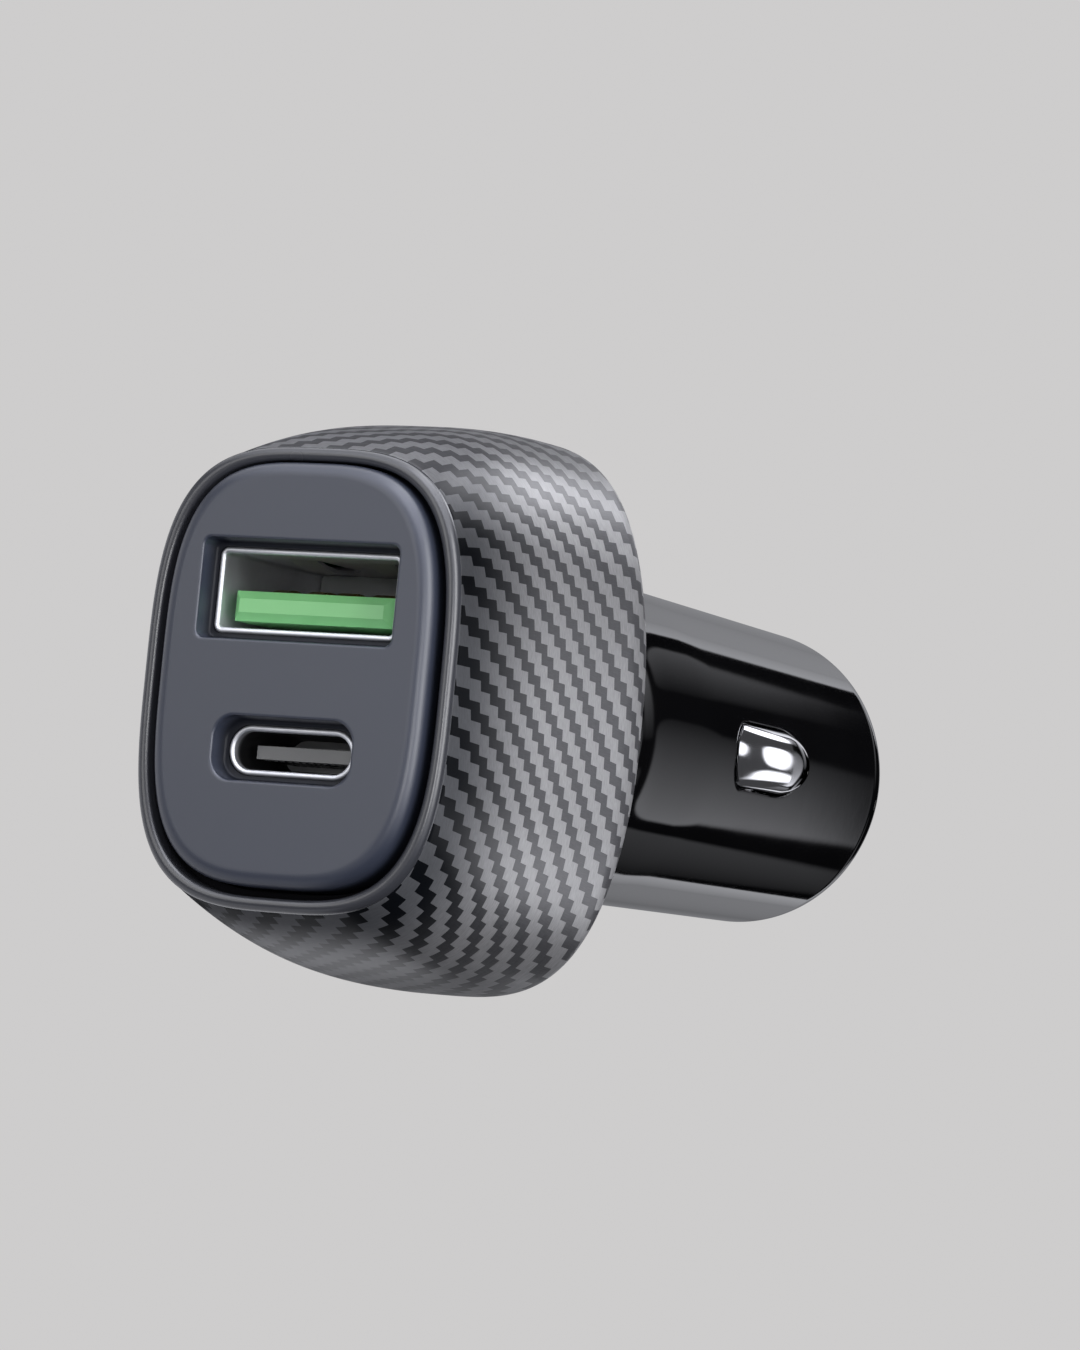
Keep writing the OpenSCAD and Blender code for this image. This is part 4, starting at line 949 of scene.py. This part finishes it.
tree, shader = newFinish("floorPaint")
distance = tree.nodes.new("ShaderNodeVectorMath")
distance.operation = "LENGTH"
put(tree, distance.inputs[0], stretch(tree, place(tree), (1, 1, 0)))
clouds = noise(tree, place(tree), floorLook["clouds"])
put(tree, shader.inputs["Base Color"], blendColour(tree, clouds, floorLook["colour"], floorLook["second"]))
solid = mapRange(tree, distance.outputs["Value"], *floorLook["fade"], 1, 0, smooth=True)
fromAbove = maths(tree, "SUBTRACT", 1.0, tree.nodes.new("ShaderNodeNewGeometry").outputs["Backfacing"])
put(tree, shader.inputs["Alpha"], maths(tree, "MULTIPLY", solid, fromAbove))
shader.inputs["Roughness"].default_value = floorLook["roughness"]
spokes = np.linspace(0, 2 * np.pi, floorLook["spokes"], endpoint=False)
rings = np.linspace(0.0, floorLook["radius"], floorLook["rings"])[:, None]
discPoints = np.broadcast_arrays(rings * np.cos(spokes), rings * np.sin(spokes), floorLook["level"])
floorPiece = studioMesh("studioFloor", np.stack(discPoints, -1), "floorPaint")
floorPiece.visible_glossy = False
floorPiece.visible_diffuse = False

# World: the pale background for what the camera, gloss and glass see, and a plain sky for the rest
skyLook = {"background": (0.617, 0.609, 0.609, 1), "sky": (0.08, 0.08, 0.09, 1)}
world = bpy.data.worlds.new("studioWorld")
bpy.context.scene.world = world
world.use_nodes = True
tree = world.node_tree
rays = tree.nodes.new("ShaderNodeLightPath")
seen = maths(tree, "MAXIMUM", rays.outputs["Is Camera Ray"], rays.outputs["Is Glossy Ray"])
seen = maths(tree, "MAXIMUM", seen, rays.outputs["Is Transmission Ray"])
background = tree.nodes["Background"]
put(tree, background.inputs["Color"], blendColour(tree, seen, skyLook["sky"], skyLook["background"]))
background.inputs["Strength"].default_value = 1.0

# Softboxes: where each stands, what it points at, its width and height, and its power in watts
softboxes = {
    "keyBox": {"stand": (0.60, -0.26, 0.13), "aim": (0, 0, 0), "size": (0.32, 0.5), "watts": 3.4},
    "faceBox": {"stand": (-0.30, -0.78, 0.22), "aim": (0, -0.02, 0), "size": (0.5, 0.5), "watts": 2.0},
    "fillBox": {"stand": (0.42, -0.74, -0.02), "aim": (0, -0.02, 0), "size": (0.25, 0.25), "watts": 2.0},
    "topBox": {"stand": (0.0, 0.05, 0.7), "aim": (0, 0, 0), "size": (0.6, 0.4), "watts": 0.22},
}
for name, box in softboxes.items():
    lamp = bpy.data.lights.new(name, "AREA")
    lamp.shape = "RECTANGLE"
    lamp.size, lamp.size_y = box["size"]
    lamp.energy = box["watts"]
    holder = addObject(name, lamp)
    holder.location = box["stand"]
    holder.rotation_euler = (Vector(box["aim"]) - Vector(box["stand"])).to_track_quat("-Z", "Y").to_euler()

# Reflector: a dark flag round the object with soft strips, seen in gloss alone. Reach is the angle in
# degrees from +Y, turn the angle round it from +X towards +Z. Each patch has its reach, its turn, its glow
# at both ends of the turn, its corner and its soft edge in degrees
reflector = {"away": 2.5, "flag": 0.06, "split": 30.5, "tint": (0.97, 0.98, 1.04, 1),
             "turns": (-106, 254, 720), "reaches": ((1, 16, 16), (16.25, 32, 96), (32.5, 146, 170)),
             "near": [
    ((11.0, 46.0), (89.0, 101.0), (1.35, 0.85), 0.3, 0.6),
    ((11.0, 46.0), (100.5, 131.0), (0.85, 0.45), 0.3, 0.6),
    ((11.0, 46.0), (130.5, 171.0), (0.45, 0.23), 0.3, 0.6),
    ((11.0, 46.0), (170.5, 206.0), (0.23, 0.26), 0.3, 0.6),
    ((11.0, 46.0), (205.5, 241.0), (0.26, 0.65), 0.3, 0.6),
    ((11.0, 46.0), (240.5, 254.0), (0.65, 1.3), 0.3, 0.6),
    ((25.0, 44.0), (42.0, 76.0), (0.02, 0.36), 4.0, 1.0),
    ((24.0, 44.0), (-54.0, 22.0), (1.0, 0.05), 5.0, 1.0),
    ((24.0, 44.0), (-104.0, -63.0), (0.02, 0.25), 5.0, 1.0),
    ((17.0, 22.4), (6.0, 97.0), (0.03, 0.66), 1.2, 1.2),
    ((16.0, 19.5), (-100.0, -20.0), (0.5, 0.06), 1.2, 1.2)], "far": [
    ((58.0, 130.0), (160.0, 246.0), (1.1, 1.1), 10.0, 12.0),
    ((40.0, 62.0), (204.0, 244.0), (1.2, 1.2), 6.0, 6.0),
    ((30.0, 60.0), (46.0, 84.0), (5.0, 1.0), 6.0, 6.0),
    ((42.0, 62.0), (50.0, 84.0), (9.0, 3.0), 6.0, 6.0),
    ((30.0, 44.0), (-33.0, -7.0), (2.2, 4.2), 5.0, 6.0),
    ((31.0, 43.5), (2.0, 16.0), (1.6, 1.6), 4.9, 0.8),
    ((50.5, 56.5), (4.0, 12.0), (1.8, 1.8), 3.0, 0.8),
    ((84.0, 150.0), (-30.0, 140.0), (1.4, 3.6), 16.0, 12.0),
    ((70.0, 160.0), (36.0, 96.0), (3.0, 9.0), 14.0, 10.0),
    ((58.0, 112.0), (86.0, 150.0), (4.0, 0.8), 12.0, 8.0)]}
reaches = column(np.concatenate([np.linspace(*part) for part in reflector["reaches"]]))
turns = np.linspace(*reflector["turns"], endpoint=False)[None]
away, about = np.radians(reaches), np.radians(turns)
direction = np.broadcast_arrays(np.sin(away) * np.cos(about), np.cos(away), np.sin(away) * np.sin(about))


def paintPatches(glow, patches):
    # Rounded rectangles: distance beyond each one's core, measured in degrees on the sphere
    for (near, far), (first, last), (glowFirst, glowLast), corner, soft in patches:
        across = np.abs(turns - (first + last) / 2) * np.sin(np.radians(reaches))
        halfAcross = (last - first) / 2 * np.sin(np.radians(np.clip(reaches, near, far)))
        dx = np.maximum(across - np.maximum(halfAcross - corner, 0), 0)
        dy = np.maximum(np.abs(reaches - (near + far) / 2) - ((far - near) / 2 - corner), 0)
        inside = np.clip((corner - np.hypot(dx, dy)) / soft + 0.5, 0, 1)
        tone = glowFirst + (glowLast - glowFirst) * np.clip((turns - first) / (last - first), 0, 1)
        glow = glow + (tone - glow) * inside
    return glow


blank = np.zeros_like(reaches * turns)
glow = np.where(reaches < reflector["split"], paintPatches(blank, reflector["near"]),
                paintPatches(blank + reflector["flag"], reflector["far"]))
tree, shader = newFinish("reflectorPaint")
tree.nodes.remove(shader)
glowNode = tree.nodes.new("ShaderNodeAttribute")
glowNode.attribute_name = "glow"
emission = tree.nodes.new("ShaderNodeEmission")
emission.inputs["Color"].default_value = reflector["tint"]
put(tree, emission.inputs["Strength"], glowNode.outputs["Fac"])
put(tree, tree.nodes["Material Output"].inputs["Surface"], emission.outputs[0])
card = studioMesh("reflectorCard", np.stack(direction, -1) * reflector["away"], "reflectorPaint")
glowLayer = card.data.attributes.new("glow", "FLOAT", "POINT")
glowLayer.data.foreach_set("value", glow.astype(np.float32).ravel())
card.visible_camera = False
card.visible_diffuse = False
card.visible_shadow = False
card.visible_transmission = False
print("studio ready")


# Camera

azimuth, elevation, roll = (math.radians(view[k]) for k in ("azimuth", "elevation", "roll"))
back = Vector((math.sin(azimuth) * math.cos(elevation), -math.cos(azimuth) * math.cos(elevation),
               math.sin(elevation)))
level = Vector((math.cos(azimuth), math.sin(azimuth), 0))
upright = back.cross(level)
right = math.cos(roll) * level + math.sin(roll) * upright
up = -math.sin(roll) * level + math.cos(roll) * upright
eye = Vector(view["target"]) + back * view["distance"] + right * view["shiftRight"] + up * view["shiftUp"]
camera = addObject("viewCamera", bpy.data.cameras.new("viewCamera"))
camera.data.lens = view["lens"]
camera.data.clip_start, camera.data.clip_end = view["clip"]
camera.matrix_world = Matrix.Translation(eye) @ Matrix((right, up, back)).transposed().to_4x4()
bpy.context.scene.camera = camera
bpy.context.scene.view_settings.view_transform = "Standard"
